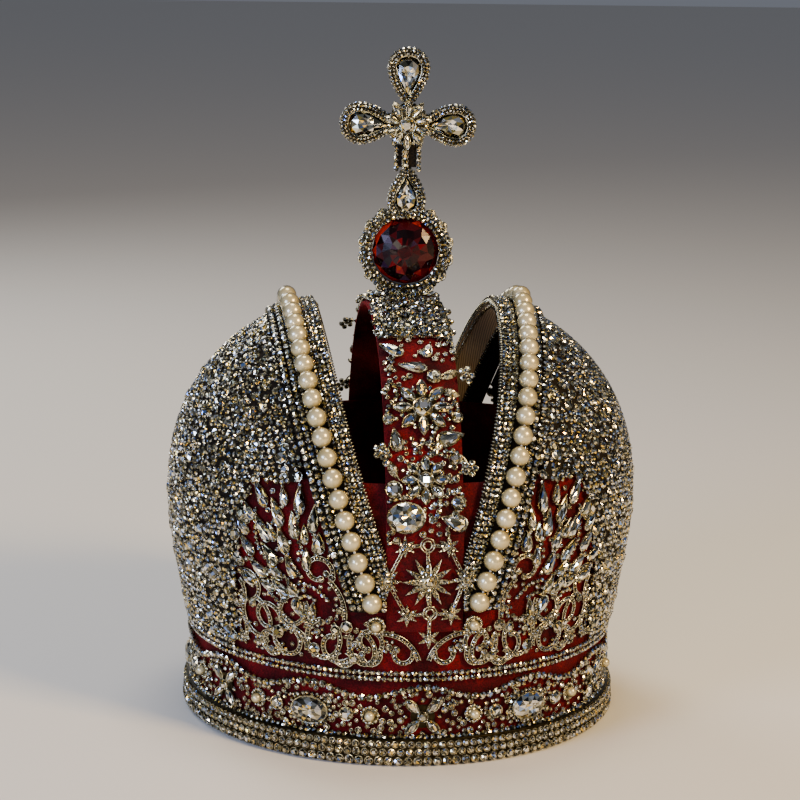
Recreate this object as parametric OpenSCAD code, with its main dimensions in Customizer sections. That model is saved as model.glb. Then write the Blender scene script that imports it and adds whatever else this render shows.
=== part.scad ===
// Bridal crown: a round band, two domed half shells, an arch between them and a cross.
// The front is towards -Y, and the crown stands on Z = 0. Sizes are in millimetres.

/* [Dome] */
// Outside radius at the bottom edge, over the velvet
base_r = 97.5; // [95.5:0.5:100]
// Half width of the shells where they are widest
shell_half_w = 107.5; // [105:0.5:109.5]
// Height at which the shells are widest
shell_mid_z = 100; // [94:1:106]
// Height that the side curve of the shells aims at
shell_top_z = 194; // [191:1:197]
// Squareness of the shells' side curve, where 2 is an ellipse
shell_power = 2.2; // [2.1:0.05:2.3]
// Half depth from front to back over the velvet, above the round bottom edge
half_depth = 97; // [96:0.5:99]
// Height at which the front and back begin to lean in
lean_z = 60; // [55:1:65]
// Height of the arch at its top
arch_top_z = 186; // [184:1:190]
// Squareness of the arch's curve, where 2 is an ellipse
arch_power = 2.25; // [2.1:0.05:2.35]

/* [Velvet] */
// Thickness of the velvet wall
velvet_t = 2; // [1.6:0.1:2.2]
// Height of the velvet wall
velvet_h = 118; // [112:1:122]
// Width of the arch band
arch_w = 33; // [32:0.5:34.5]

/* [Shells] */
// Thickness of the stone-set layer that lies over the velvet
layer_t = 3.2; // [2.8:0.1:3.4]
// Gap that parts the velvet from what is sewn over it
seam_gap = 0.5; // [0.45:0.05:0.7]
// Height of the shells' lower edge at the sides
shell_low_z = 43; // [43:0.5:46]
// Rise of that edge towards the front and back
shell_edge_rise = 79; // [76:1:81]

/* [Rims] */
// Distance of the pearl row from the middle plane at its foot
pearl_row_x = 21.2; // [20.6:0.2:22]
// Share by which the V gaps widen upwards
pearl_row_lean = 0.365; // [0.35:0.005:0.38]
// Width of the stone rows on each side of the pearls' middle line
rim_side_w = 11.2; // [10.4:0.2:11.8]
// Height of the stone rows over the shell
rim_rise = 1.5; // [1:0.1:1.8]
// Diameter of a pearl
pearl_d = 8.9; // [8.6:0.1:9]
// Distance from pearl to pearl
pearl_pitch = 9.3; // [9.25:0.05:9.8]
// Diameter of the thread through the pearls
thread_d = 0.9; // [0.7:0.1:1]

/* [Base band] */
// Height of the hoop at the bottom edge
hoop_h = 12; // [11:0.5:12.5]
// Radius of a stone row on the hoop
row_r = 2.3; // [2:0.1:2.4]
// Height of the upper chain
upper_chain_z = 39.5; // [39:0.5:40]
// Mean height of the wave chain
wave_z = 32; // [31.5:0.25:32.5]
// Height of the ovals and flowers of the base band
band_z = 21.5; // [21:0.5:22]

/* [Finial] */
// Turn of the finial to its right
finial_turn = -9; // [-15:1:0]
// Radius of the red stone
ruby_r = 15.1; // [14.5:0.1:15.4]
// Outer radius of the bezel
bezel_r = 18.6; // [18.2:0.1:19]
// Height of the middle of the cross
cross_z = 265.5; // [264:0.5:267]
// Distance from the cross's middle to the middle of an arm's stone
arm_reach = 17.4; // [17:0.2:19]
// Length of a pear stone in the cross
pear_l = 19; // [17:0.5:20]
// Width of a pear stone in the cross
pear_w = 12.5; // [11:0.5:13]
// Width of the double row of small stones round a pear stone
halo_w = 3.2; // [2.8:0.1:3.4]

/* [Hidden] */

silver = "gainsboro";
velvet = "darkred";
crystal = "lightcyan";
nacre = "ivory";
$fn = 32;

// Outer face of the layer sewn over the velvet is the dome itself, and faces below are negative.
velvet_out = -layer_t - seam_gap;
sewn_in = -layer_t;
seat_gap = 0.25;
stone_seat = velvet_out + seat_gap;
arch_seat = seat_gap;
rim_foot_z = 68;
slope_step = 0.1;
dome_eps = 0.0001;

function smooth(t) = let (c = min(1, max(0, t))) c * c * (3 - 2 * c);
function unit(v) = v / norm(v);
function flat(lists) = [for (l = lists) each l];
function backwards(l) = [for (i = [len(l) - 1 : -1 : 0]) l[i]];

// Half width and half depth of the dome at a height, both equal over the round bottom edge
flare_z = 20;
function flare(z, r, z_end) = base_r + (r - base_r) * smooth((z - flare_z) / (z_end - flare_z));
function arc(z, z0, top, power) = pow(max(dome_eps, 1 - pow((z - z0) / (top - z0), power)), 1 / power);
function dome_x(z) = z < shell_mid_z ? flare(z, shell_half_w, shell_mid_z)
    : shell_half_w * arc(z, shell_mid_z, shell_top_z, shell_power);
function dome_y(z) = z < lean_z ? flare(z, half_depth, lean_z)
    : half_depth * arc(z, lean_z, arch_top_z, arch_power);

// Point on the dome at an angle from the front towards +X, and the way out from it
function dome_at(ang, z) = [dome_x(z) * sin(ang), -dome_y(z) * cos(ang), z];
function dome_out(p) = let (
    z = p[2],
    a = dome_x(z),
    b = dome_y(z),
    da = (dome_x(z + slope_step) - dome_x(z - slope_step)) / (2 * slope_step),
    db = (dome_y(z + slope_step) - dome_y(z - slope_step)) / (2 * slope_step))
    unit([p[0] / pow(a, 2), p[1] / pow(b, 2),
          -pow(p[0], 2) * da / pow(a, 3) - pow(p[1], 2) * db / pow(b, 3)]);
function off_dome(p, out) = p + out * dome_out(p);
function wall_at(ang, z, out) = off_dome(dome_at(ang, z), out);

// Pearl row and inner edge of a rim, as distances from the middle plane
function pearl_x(z) = let (h = z - 70) pearl_row_x + pearl_row_lean * h - 0.00085 * h * h;
rim_in_x = arch_w / 2 + 1;
function rim_x(z, k) = max(rim_in_x, pearl_x(z) + k);
function dome_excess(p) = pow(p[0] / dome_x(p[2]), 2) + pow(p[1] / dome_y(p[2]), 2) - 1;

// Point of the rim k outside the pearl row, by its angle over the crown from front to back
function rim_guess(k, phi, r) = let (z = rim_foot_z + r * sin(phi))
    [rim_x(z, k), -r * cos(phi), z];
function rim_r(k, phi, lo, hi, n) = n == 0 ? (lo + hi) / 2
    : let (mid = (lo + hi) / 2)
      dome_excess(rim_guess(k, phi, mid)) > 0 ? rim_r(k, phi, lo, mid, n - 1)
      : rim_r(k, phi, mid, hi, n - 1);
function rim_at(k, phi, out) = let (
    ray = 125,
    room = arch_top_z - 1 - rim_foot_z,
    hi = phi % 180 == 0 ? ray : min(ray, room / sin(phi)))
    off_dome(rim_guess(k, phi, rim_r(k, phi, 0, hi, 22)), out);

// Top edge of a shell at an angle from the front
function shell_edge_x(z) = pearl_x(z) + rim_side_w + seam_gap;
function edge_z(ang, lo, hi, n) = n == 0 ? (lo + hi) / 2
    : let (mid = (lo + hi) / 2)
      shell_edge_x(mid) > dome_x(mid) * sin(ang) ? edge_z(ang, lo, mid, n - 1)
      : edge_z(ang, mid, hi, n - 1);
function shell_top(ang) = edge_z(ang, rim_foot_z, shell_top_z - 1, 22);
function shell_low(ang) = let (side = min(ang, 180 - ang))
    shell_low_z + shell_edge_rise * smooth((57 - side) / 13);

// Middle line of the arch by its angle over the crown, with its way out
arch_rise = arch_top_z - lean_z;
function signed_pow(v, e) = sign(v) * pow(abs(v), e);
function arch_mid(psi) = [0, -half_depth * signed_pow(cos(psi), 2 / arch_power),
                          lean_z + arch_rise * signed_pow(sin(psi), 2 / arch_power)];
function arch_out(psi) = unit([0, -signed_pow(cos(psi), 2 - 2 / arch_power) / half_depth,
                               signed_pow(sin(psi), 2 - 2 / arch_power) / arch_rise]);
function arch_psi(z) = asin(signed_pow((z - lean_z) / arch_rise, arch_power / 2));
function arch_dip(x) = -x * x / 210;
function arch_at(x, psi, out) = arch_mid(psi) + (out + arch_dip(x)) * arch_out(psi) + [x, 0, 0];

// Solid lofted through closed rings that hold an even number of points
module loft(rings, closed = false) {
    n = len(rings);
    m = len(rings[0]);
    half = m / 2;
    last = closed ? n - 1 : n - 2;
    sides = [for (i = [0 : last], j = [0 : m - 1])
        let (a = i * m, b = ((i + 1) % n) * m, k = (j + 1) % m)
        each [[a + j, a + k, b + j], [a + k, b + k, b + j]]];
    caps = closed ? [] : [for (j = [0 : half - 2])
        let (p = j, q = j + 1, r = m - 2 - j, s = m - 1 - j, e = (n - 1) * m)
        each [[p, s, q], [q, s, r], [e + p, e + q, e + s], [e + q, e + r, e + s]]];
    polyhedron(flat(rings), concat(sides, caps));
}

// Bar swept along points that lie on the crown, with its top and bottom at two offsets
function bar_ring(pts, outs, i, n, w, low, high) = let (
    ahead = unit(pts[min(i + 1, n - 1)] - pts[max(i - 1, 0)]),
    side = unit(cross(ahead, outs[i])) * w / 2)
    [pts[i] - side + low * outs[i], pts[i] + side + low * outs[i],
     pts[i] + side * 0.7 + high * outs[i], pts[i] - side * 0.7 + high * outs[i]];

// Thin round thread along points
function thread_ring(pts, i, r, sides, lift) = let (
    n = len(pts),
    ahead = unit(pts[min(i + 1, n - 1)] - pts[max(i - 1, 0)]),
    side = unit(cross(ahead, lift[i])),
    up = cross(side, ahead))
    [for (s = [0 : sides - 1]) pts[i] + r * (cos(360 * s / sides) * side + sin(360 * s / sides) * up)];

// Outlines of cut stones, longer along Y, with a drop's point at +Y
function oval_line(l, w, n) = [for (i = [0 : n - 1]) let (t = 360 * i / n) [w / 2 * sin(t), l / 2 * cos(t)]];
function navette_line(l, w, n) = [for (i = [0 : n - 1])
    let (t = 360 * i / n) [w / 2 * sin(t) * abs(sin(t)), l / 2 * cos(t)]];
function drop_line(l, w, n) = [for (i = [0 : n - 1])
    let (t = 360 * i / n) [w / 2 * sin(t) * 1.3 * pow(sin(t / 2), 1.3), l / 2 * cos(t)]];

// Cut stone on its flat back: pavilion, girdle, crown facets and table
module cut_stone(line, h, table = 0.55, foot = 0.8) {
    n = len(line);
    rings = [for (r = [[foot, 0], [1, 0.4 * h], [table, h]])
        [for (p = line) [p[0] * r[0], -p[1] * r[0], r[1]]]];
    sides = [for (i = [0, 1], j = [0 : n - 1])
        let (a = i * n, b = a + n, k = (j + 1) % n)
        each [[a + j, a + k, b + k], [a + j, b + k, b + j]]];
    caps = [for (j = [1 : n - 2]) each [[0, j + 1, j], [2 * n, 2 * n + j, 2 * n + j + 1]]];
    rotate([0, 0, 180])
        polyhedron(flat(rings), [for (f = concat(sides, caps)) backwards(f)]);
}

// Stone cut on both faces, about its girdle
module double_stone(line, h, table = 0.5) {
    n = len(line);
    rings = [for (r = [[table, -h], [1, -0.12 * h], [1, 0.12 * h], [table, h]])
        [for (p = line) [p[0] * r[0], p[1] * r[0], r[1]]]];
    sides = [for (i = [0 : 2], j = [0 : n - 1])
        let (a = i * n, b = a + n, k = (j + 1) % n)
        each [[a + j, a + k, b + k], [a + j, b + k, b + j]]];
    caps = [for (j = [1 : n - 2]) each [[0, j + 1, j], [3 * n, 3 * n + j, 3 * n + j + 1]]];
    polyhedron(flat(rings), concat(sides, caps));
}

// Frames of reference: X sideways, Y up along the face and Z out of it
module face_frame(p, out, sideways) {
    up = cross(out, sideways);
    multmatrix([[sideways[0], up[0], out[0], p[0]], [sideways[1], up[1], out[1], p[1]],
                [sideways[2], up[2], out[2], p[2]], [0, 0, 0, 1]])
        children();
}
module on_wall(ang, z, out, turn = 0) {
    p = dome_at(ang, z);
    way = dome_out(p);
    face_frame(p + out * way, way, unit(cross([0, 0, 1], way))) rotate([0, 0, turn]) children();
}
module on_arch(x, z, out, turn = 0) {
    psi = arch_psi(z);
    face_frame(arch_at(x, psi, out), arch_out(psi), [1, 0, 0]) rotate([0, 0, turn]) children();
}
module along(v) {
    rotate([0, acos(v[2] / norm(v)), atan2(v[1], v[0])]) children();
}
module at_back() {
    rotate([0, 0, 180]) children();
}

// Velvet wall, open at the top and bottom
module velvet_wall() {
    columns = 36;
    heights = [1, 25, 40, 60, 80, 100, velvet_h];
    color(velvet) loft([for (c = [0 : columns - 1]) let (ang = 360 * c / columns) concat(
        [for (z = heights) wall_at(ang, z, velvet_out)],
        [for (z = backwards(heights)) wall_at(ang, z, velvet_out - velvet_t)])], closed = true);
}

// Hoop with two rows of stones, whose flat underside carries the crown
module base_hoop() {
    inner = base_r + sewn_in;
    band = base_r - inner + 0.3;
    color(silver) rotate_extrude($fn = 96) {
        translate([inner, 0]) square([band, hoop_h]);
        for (z = [3.4, 8.5])
            translate([base_r - 0.2, z]) circle(r = row_r);
    }
}

// Straight chain over the base band
chain_half = 1.8;
chain_top_half = 1.1;
chain_out = -0.6;
module upper_chain() {
    wall_r = dome_x(upper_chain_z);
    color(silver) translate([0, 0, upper_chain_z]) rotate_extrude($fn = 96) polygon([
        [wall_r + sewn_in, -chain_half], [wall_r + chain_out, -chain_top_half],
        [wall_r + chain_out, chain_top_half], [wall_r + sewn_in, chain_half]]);
}

// Chain in twelve waves, one of them high over each oval and each flower of navettes
module wave_chain() {
    wave_rise = 2.5;
    columns = 60;
    color(silver) loft([for (c = [0 : columns - 1]) let (
        ang = -360 * c / columns,
        z = wave_z + wave_rise * cos(12 * ang)) [
        wall_at(ang, z - chain_half, sewn_in),
        wall_at(ang, z + chain_half, sewn_in),
        wall_at(ang, z + chain_top_half, chain_out),
        wall_at(ang, z - chain_top_half, chain_out)]], closed = true);
}

// Domed half shell, from the base band up to its rim, with room inside it over the velvet
shell_in = sewn_in + 1.2;
module right_shell() {
    rows = 9;
    // Angles from the front, closer together where the lower edge rises
    front_angs = [31, 37, 42, 45, 48, 51, 54, 57, 63, 71, 80.5];
    angs = concat(front_angs, [90], [for (a = backwards(front_angs)) 180 - a]);
    shares = [for (r = [0 : rows]) 1 - pow(1 - r / rows, 1.3)];
    color(silver) loft([for (ang = angs) let (
        low = shell_low(ang),
        heights = [for (share = shares) low + share * (shell_top(ang) - low)]) concat(
        [for (z = heights) wall_at(ang, z, 0)],
        [for (z = backwards(heights)) wall_at(ang, z, shell_in)])]);
}
module left_shell() {
    mirror([1, 0, 0]) right_shell();
}

// Broad rim: a raised row on each side of the groove that the pearls lie in
groove_half = pearl_d / 2 + 0.3;
groove_out = -1.2;
pearl_out = groove_out + seat_gap + pearl_d / 2;
module right_rim() {
    steps = 36;
    rim_in = sewn_in + 0.4;
    section = [[-rim_side_w, rim_in], [-rim_side_w, rim_rise], [-groove_half, rim_rise],
               [-groove_half + 0.2, groove_out], [groove_half - 0.2, groove_out], [groove_half, rim_rise],
               [rim_side_w, rim_rise], [rim_side_w, rim_in]];
    order = [3, 2, 1, 0, 7, 6, 5, 4];
    color(silver) loft([for (i = [0 : steps])
        [for (j = order) rim_at(section[j][0], 180 * i / steps, section[j][1])]]);
}
module left_rim() {
    mirror([1, 0, 0]) right_rim();
}

// Pearls at an even pitch along the rim, drilled for their thread
pearl_line = [for (i = [0 : 90]) rim_at(0, 2 * i, pearl_out)];
pearl_steps = [for (i = [1 : 90]) norm(pearl_line[i] - pearl_line[i - 1])];
function run_to(i) = i == 0 ? 0 : run_to(i - 1) + pearl_steps[i - 1];
pearl_run = [for (i = [0 : 90]) run_to(i)];
pearl_count = floor((pearl_run[90] - pearl_d) / pearl_pitch) + 1;
pearl_start = (pearl_run[90] - (pearl_count - 1) * pearl_pitch) / 2;
function on_pearl_line(d) = [for (axis = [0 : 2])
    lookup(d, [for (i = [0 : 90]) [pearl_run[i], pearl_line[i][axis]]])];
function pearl_at(i) = on_pearl_line(pearl_start + i * pearl_pitch);
module right_pearls() {
    color(nacre) for (i = [0 : pearl_count - 1]) {
        along_line = pearl_at(i + 0.5) - pearl_at(i - 0.5);
        translate(pearl_at(i)) along(along_line) difference() {
            sphere(d = pearl_d);
            cylinder(d = thread_d + 1.3, h = pearl_d + 2, center = true, $fn = 16);
        }
    }
}
module left_pearls() {
    mirror([1, 0, 0]) right_pearls();
}
module right_thread() {
    pts = [for (i = [0 : pearl_count - 1]) pearl_at(i)];
    lift = [for (p = pts) unit([p[0], 0, p[2]])];
    color("white") loft([for (i = [0 : pearl_count - 1]) thread_ring(pts, i, thread_d / 2, 4, lift)]);
}
module left_thread() {
    mirror([1, 0, 0]) right_thread();
}

// Velvet arch from the front foot over the top to the back foot
module arch() {
    cuts = 28;
    across = [-1, -0.34, 0.34, 1] * arch_w / 2;
    color(velvet) loft([for (i = [0 : cuts]) let (psi = 180 - 180 * i / cuts) concat(
        [for (x = across) arch_at(x, psi, 0)],
        [for (x = backwards(across)) arch_at(x, psi, sewn_in)])]);
}

// Stone-set saddle on the arch, in front of and behind the finial
module front_collar() {
    from = 67;
    to = 84;
    steps = 6;
    across = [-1, -0.34, 0.34, 1] * (arch_w / 2 - 0.5);
    color(silver) loft([for (i = [0 : steps]) let (psi = to - (to - from) * i / steps) concat(
        [for (x = across) arch_at(x, psi, 3)],
        [for (x = backwards(across)) arch_at(x, psi, arch_seat)])]);
}
module back_collar() {
    at_back() front_collar();
}

// Everything on the finial faces the way that the finial is turned
bezel_t = 8;
bezel_in = ruby_r + 0.25;
bezel_lift = 3.8;
ruby_z = arch_top_z + seat_gap + bezel_lift + bezel_r;
module on_finial(z) {
    rotate([0, 0, finial_turn]) translate([0, 0, z]) rotate([90, 0, 0]) children();
}
module ruby_setting() {
    scallops = 18;
    scallop_r = 1.9;
    color(silver) on_finial(ruby_z) {
        rotate_extrude($fn = 64) {
            translate([bezel_in, -bezel_t / 2]) square([bezel_r - bezel_in, bezel_t]);
            for (s = [-1, 1])
                translate([bezel_in + 1.5, s * bezel_t / 2]) circle(r = 1.2, $fn = 24);
        }
        for (i = [0 : scallops - 1]) {
            turn = 360 * (i + 0.5) / scallops;
            if (abs(turn - 270) > 15 && abs(turn - 90) > 35)
                rotate([0, 0, turn]) translate([bezel_r - 0.3, 0, 0])
                    cylinder(r = scallop_r, h = bezel_t - 2, center = true, $fn = 24);
        }
        translate([-7, -bezel_r - bezel_lift, -bezel_t / 2 + 0.5]) cube([14, bezel_lift + 2, bezel_t - 1]);
    }
}

// Red stone cut with rings of three-sided facets on both faces
module ruby() {
    cuts = 10;
    levels = [[3, 0.3, 6.6], [1.5, 0.62, 5.2], [0, 1, 0.8]];
    half = [for (l = levels) [for (i = [0 : cuts - 1])
        let (t = 360 * (i + l[0] / 3) / cuts) [ruby_r * l[1] * cos(t), ruby_r * l[1] * sin(t), l[2]]]];
    rings = concat(half, [for (r = backwards(half)) [for (p = r) [p[0], p[1], -p[2]]]]);
    n = cuts;
    sides = [for (i = [0 : len(rings) - 2], j = [0 : n - 1])
        let (a = i * n, b = a + n, k = (j + 1) % n)
        each [[a + j, b + j, a + k], [a + k, b + j, b + k]]];
    far = (len(rings) - 1) * n;
    caps = [for (j = [1 : n - 2]) each [[0, j, j + 1], [far, far + j + 1, far + j]]];
    color("crimson") on_finial(ruby_z)
        polyhedron(flat(rings), [for (f = concat(sides, caps)) backwards(f)]);
}

// Cross: halos of small stones held on a dark rod
cross_t = 9;
pear_gap = 0.2;
foot_pear_z = ruby_z + bezel_r + 4;
// Columns: name, distance from the cross's middle along X and Z, and turn of the point
top_arm = [0, arm_reach + 3.8, 180];
left_arm = [-arm_reach, 0, -90];
right_arm = [arm_reach, 0, 90];
foot_arm = [0, foot_pear_z - cross_z, 0];
module at_arm(arm) {
    on_finial(cross_z) translate([arm[0], arm[1], 0]) rotate([0, 0, arm[2]]) children();
}
module halo(arm) {
    at_arm(arm) difference() {
        linear_extrude(cross_t, center = true)
            polygon(drop_line(pear_l + 2 * halo_w + 1.2, pear_w + 2 * halo_w, 24));
        linear_extrude(cross_t + 2, center = true)
            polygon(drop_line(pear_l + 2 * pear_gap, pear_w + 2 * pear_gap, 24));
    }
}

// The lowest arm stands on the bezel, which its halo and stone are cut round to meet
module clear_of_bezel() {
    difference() {
        children();
        on_finial(ruby_z) cylinder(r = bezel_r + seat_gap, h = 2 * cross_t, center = true, $fn = 64);
    }
}
module cross_frame() {
    hub_r = 6;
    color(silver) clear_of_bezel() {
        for (arm = [top_arm, left_arm, right_arm, foot_arm])
            halo(arm);
        on_finial(cross_z) {
            cylinder(r = hub_r, h = cross_t, center = true);
            translate([0, 8, 0]) cube([3, 6, 5], center = true);
            translate([0, -14, 0]) cube([3, 19, 5], center = true);
        }
    }
}
module pear(arm) {
    color(crystal) at_arm(arm) double_stone(drop_line(pear_l, pear_w, 12), cross_t / 2 + 0.8);
}
module top_pear() {
    pear(top_arm);
}
module left_pear() {
    pear(left_arm);
}
module right_pear() {
    pear(right_arm);
}
module foot_pear() {
    clear_of_bezel() pear(foot_arm);
}

// Flower of navettes round a middle stone, all set in one plate
module flower(petals, reach, l, w, h, first = 0) {
    plate_h = 0.8;
    middle_d = 2 * reach - l - 0.6;
    cylinder(r = reach, h = plate_h, $fn = 24);
    translate([0, 0, plate_h / 2]) {
        cut_stone(oval_line(middle_d, middle_d, 8), h + 0.8);
        for (i = [0 : petals - 1])
            rotate([0, 0, first + 360 * i / petals]) translate([0, reach, 0])
                cut_stone(navette_line(l, w, 6), h);
    }
}
module cross_flower() {
    color(crystal) on_finial(cross_z) translate([0, 0, cross_t / 2 + seat_gap]) flower(10, 7.8, 7.6, 3.2, 2);
}
module front_cross_flower() {
    cross_flower();
}
module back_cross_flower() {
    at_back() cross_flower();
}

// Flowers and large stones on the arch
module front_upper_flower() {
    color(crystal) on_arch(0, 152, arch_seat) flower(8, 8.6, 8.4, 4.2, 2.4);
}
module back_upper_flower() {
    at_back() front_upper_flower();
}
module front_lower_flower() {
    color(crystal) on_arch(0, 124, arch_seat) flower(8, 7, 6.8, 3.8, 2.4);
}
module back_lower_flower() {
    at_back() front_lower_flower();
}
module front_oval() {
    color(crystal) on_arch(-8.5, 109, arch_seat, 90) cut_stone(oval_line(16, 13, 12), 4.4);
}
module back_oval() {
    at_back() front_oval();
}

// Columns: distance from the middle, height, turn of the point, length, width
drop_table = [
    [-11.3, 172.8, 60, 11, 5.5], [-3, 166.6, 80, 12, 5], [4.4, 172.2, -20, 8, 4.6],
    [11.5, 140.5, -75, 12, 7], [-12, 140, 10, 10, 5.5], [12, 107.2, 70, 11.5, 7]];
module front_drops() {
    color(crystal) for (d = drop_table)
        on_arch(d[0], d[1], arch_seat, d[2]) cut_stone(drop_line(d[3], d[4], 8), 3);
}
module back_drops() {
    at_back() front_drops();
}

// Columns: distance from the middle, height, turn of the point, length
leaf_table = [[13.2, 164.5, -60, 9], [12.5, 157.8, -110, 9], [-13.6, 128.6, 20, 8]];
module front_leaves() {
    color(silver) for (l = leaf_table)
        on_arch(l[0], l[1], arch_seat, l[2]) cut_stone(navette_line(l[3], 4.4, 6), 1.8, 0.4, 0.95);
}
module back_leaves() {
    at_back() front_leaves();
}

// Round stones in cups; columns: distance from the middle, height, radius
bead_table = [
    [6, 163.2, 3], [-13.4, 120.5, 3.4], [14.8, 148.5, 2.2], [-14.8, 148, 2.2],
    [13, 132.5, 2.4], [13.5, 115, 2.4]];
module front_beads() {
    color(crystal) for (b = bead_table)
        on_arch(b[0], b[1], arch_seat) {
            cylinder(r = b[2], h = 1.6, $fn = 24);
            translate([0, 0, 1.2]) cylinder(r1 = b[2] * 0.92, r2 = b[2] * 0.5, h = 1.8, $fn = 24);
        }
}
module back_beads() {
    at_back() front_beads();
}

// Rosette of stars at the foot of the arch
module star(points, r, r_in, h) {
    linear_extrude(h) polygon([for (i = [0 : 2 * points - 1])
        let (t = 180 * i / points, q = i % 2 == 0 ? r : r_in) [q * sin(t), q * cos(t)]]);
}
// Stars at the sides lie over the rims; columns: distance from the middle, height, points, radius, seat
rim_seat = rim_rise + seat_gap;
star_table = [
    [1, 82, 12, 11.6, arch_seat], [-9, 97, 6, 4.8, arch_seat], [9.8, 97, 6, 4.8, arch_seat],
    [-8, 67.4, 6, 5, arch_seat], [11, 67.8, 6, 5, arch_seat], [1.5, 57.6, 6, 5.2, arch_seat],
    [-16.1, 82.4, 8, 4.6, rim_seat], [16.1, 82.8, 8, 4.6, rim_seat]];
// Plain wire rings between them
ring_table = [[0.6, 97.6], [1.8, 68.6]];
module front_rosette() {
    star_h = 2.2;
    ring_r = 3;
    wire_h = 1.6;
    mains = [for (s = star_table) [s[0], s[1]]];
    hub = mains[0];
    // Bars from star to star and ring, in a net of six sides
    links = [[mains[1], ring_table[0]], [mains[2], ring_table[0]], [hub, ring_table[0]],
             [mains[3], ring_table[1]], [mains[4], ring_table[1]], [hub, ring_table[1]], [mains[5], ring_table[1]],
             [mains[1], mains[6]], [mains[3], mains[6]], [mains[2], mains[7]], [mains[4], mains[7]]];
    color(silver) {
        for (s = star_table)
            on_arch(s[0], s[1], s[4]) star(s[2], s[3], s[3] * 0.42, star_h);
        for (r = ring_table)
            on_arch(r[0], r[1], arch_seat) difference() {
                cylinder(r = ring_r, h = wire_h, $fn = 24);
                translate([0, 0, -1]) cylinder(r = ring_r - 0.9, h = wire_h + 2, $fn = 24);
            }
        for (l = links) {
            way = l[1] - l[0];
            on_arch(l[0][0], l[0][1], arch_seat) rotate([0, 0, atan2(way[1], way[0])])
                translate([0, -0.5, 0.2]) cube([norm(way), 1, 1]);
        }
    }
}
module back_rosette() {
    at_back() front_rosette();
}

// Scrollwork on a quarter of the wall, laid out on the unrolled wall
unroll_r = 100;
function scroll_line(s) = let (steps = s[6])
    [for (i = [0 : steps]) let (
        u = i / steps,
        t = s[3] + (s[4] - s[3]) * u,
        r = s[2] * (1 - s[5] * u))
        [s[0] + r * cos(t), s[1] + r * sin(t)]];
// Columns: middle along the wall and height, radius, first and last angle, share curled in, steps
scroll_table = [
    [52.4, 66.5, 18.6, 190, 132, 0, 6],
    [44.5, 84.2, 6.6, 200, -110, 0.45, 10],
    [23.8, 54.3, 6, 215, -80, 0.45, 10],
    [23.8, 48.4, 5, 150, 370, 0.35, 9],
    [18, 42, 16.4, 164, 84, 0, 7],
    [9.6, 49.6, 5, 168, 400, 0.4, 9],
    [38.8, 51.8, 8.2, 225, 440, 0.5, 11],
    [59.5, 50.4, 7.2, 200, 25, 0.1, 8],
    [71, 60, 7, 195, -100, 0.35, 11],
    [72, 48.6, 5, 150, -120, 0.4, 9],
    [81, 73, 7.2, 255, 70, 0.15, 8]];
// Columns: middle along the wall, height and radius of a round stone at a joint
joint_table = [
    [33.2, 60.6, 3.2], [38.2, 58.8, 2.6], [30.4, 46.8, 2.8], [48.6, 49.6, 3.2],
    [65.6, 54.8, 3.4], [78.4, 65, 2.4], [38.6, 81.6, 1.9]];
function on_sheet(p, out) = wall_at(p[0] * 180 / (PI * unroll_r), p[1], out);
module scrolls() {
    bar_w = 2.2;
    bar_high = -0.7;
    color(silver) {
        for (s = scroll_table) {
            line = scroll_line(s);
            pts = [for (p = line) on_sheet(p, 0)];
            outs = [for (p = pts) dome_out(p)];
            loft([for (i = [0 : len(pts) - 1])
                bar_ring(pts, outs, i, len(pts), bar_w, sewn_in + 0.02, bar_high)]);
        }
        for (j = joint_table)
            on_wall(j[0] * 180 / (PI * unroll_r), j[1], sewn_in + 0.05) {
                cylinder(r = j[2], h = 1.8, $fn = 24);
                cylinder(r1 = j[2], r2 = j[2] * 0.5, h = 3, $fn = 24);
            }
    }
}
module front_right_scrolls() {
    scrolls();
}
module front_left_scrolls() {
    mirror([1, 0, 0]) scrolls();
}
module back_left_scrolls() {
    at_back() scrolls();
}
module back_right_scrolls() {
    at_back() mirror([1, 0, 0]) scrolls();
}

// Spray of drops and navettes that fans out over the scrollwork
// Columns: middle along the wall and height, lean of the point, length, width
spray_table = [
    [46, 106.5, -2, 11, 5.4], [52.5, 114, 6, 12, 5.6], [55, 103, 12, 11, 5.4], [63, 107.5, 26, 12, 5.6],
    [71.5, 114.5, 32, 12, 5.4], [43.8, 96.2, 0, 8.6, 6.6], [60.2, 95.5, 24, 11, 5.4], [70, 99.5, 36, 12, 5.4],
    [67, 89, 42, 11, 5], [57, 85, 26, 10, 5], [78.5, 91, 42, 10, 5], [73.5, 81.8, 50, 10, 5],
    [63, 74.5, 48, 10, 5], [54.5, 66, -150, 9, 5.4]];
module spray() {
    color(crystal) for (d = spray_table)
        on_wall(d[0] * 180 / (PI * unroll_r), d[1], stone_seat, -d[2])
            cut_stone(drop_line(d[3], d[4], 7), 2.9);
}
module front_right_spray() {
    spray();
}
module front_left_spray() {
    mirror([1, 0, 0]) spray();
}
module back_left_spray() {
    at_back() spray();
}
module back_right_spray() {
    at_back() mirror([1, 0, 0]) spray();
}

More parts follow.
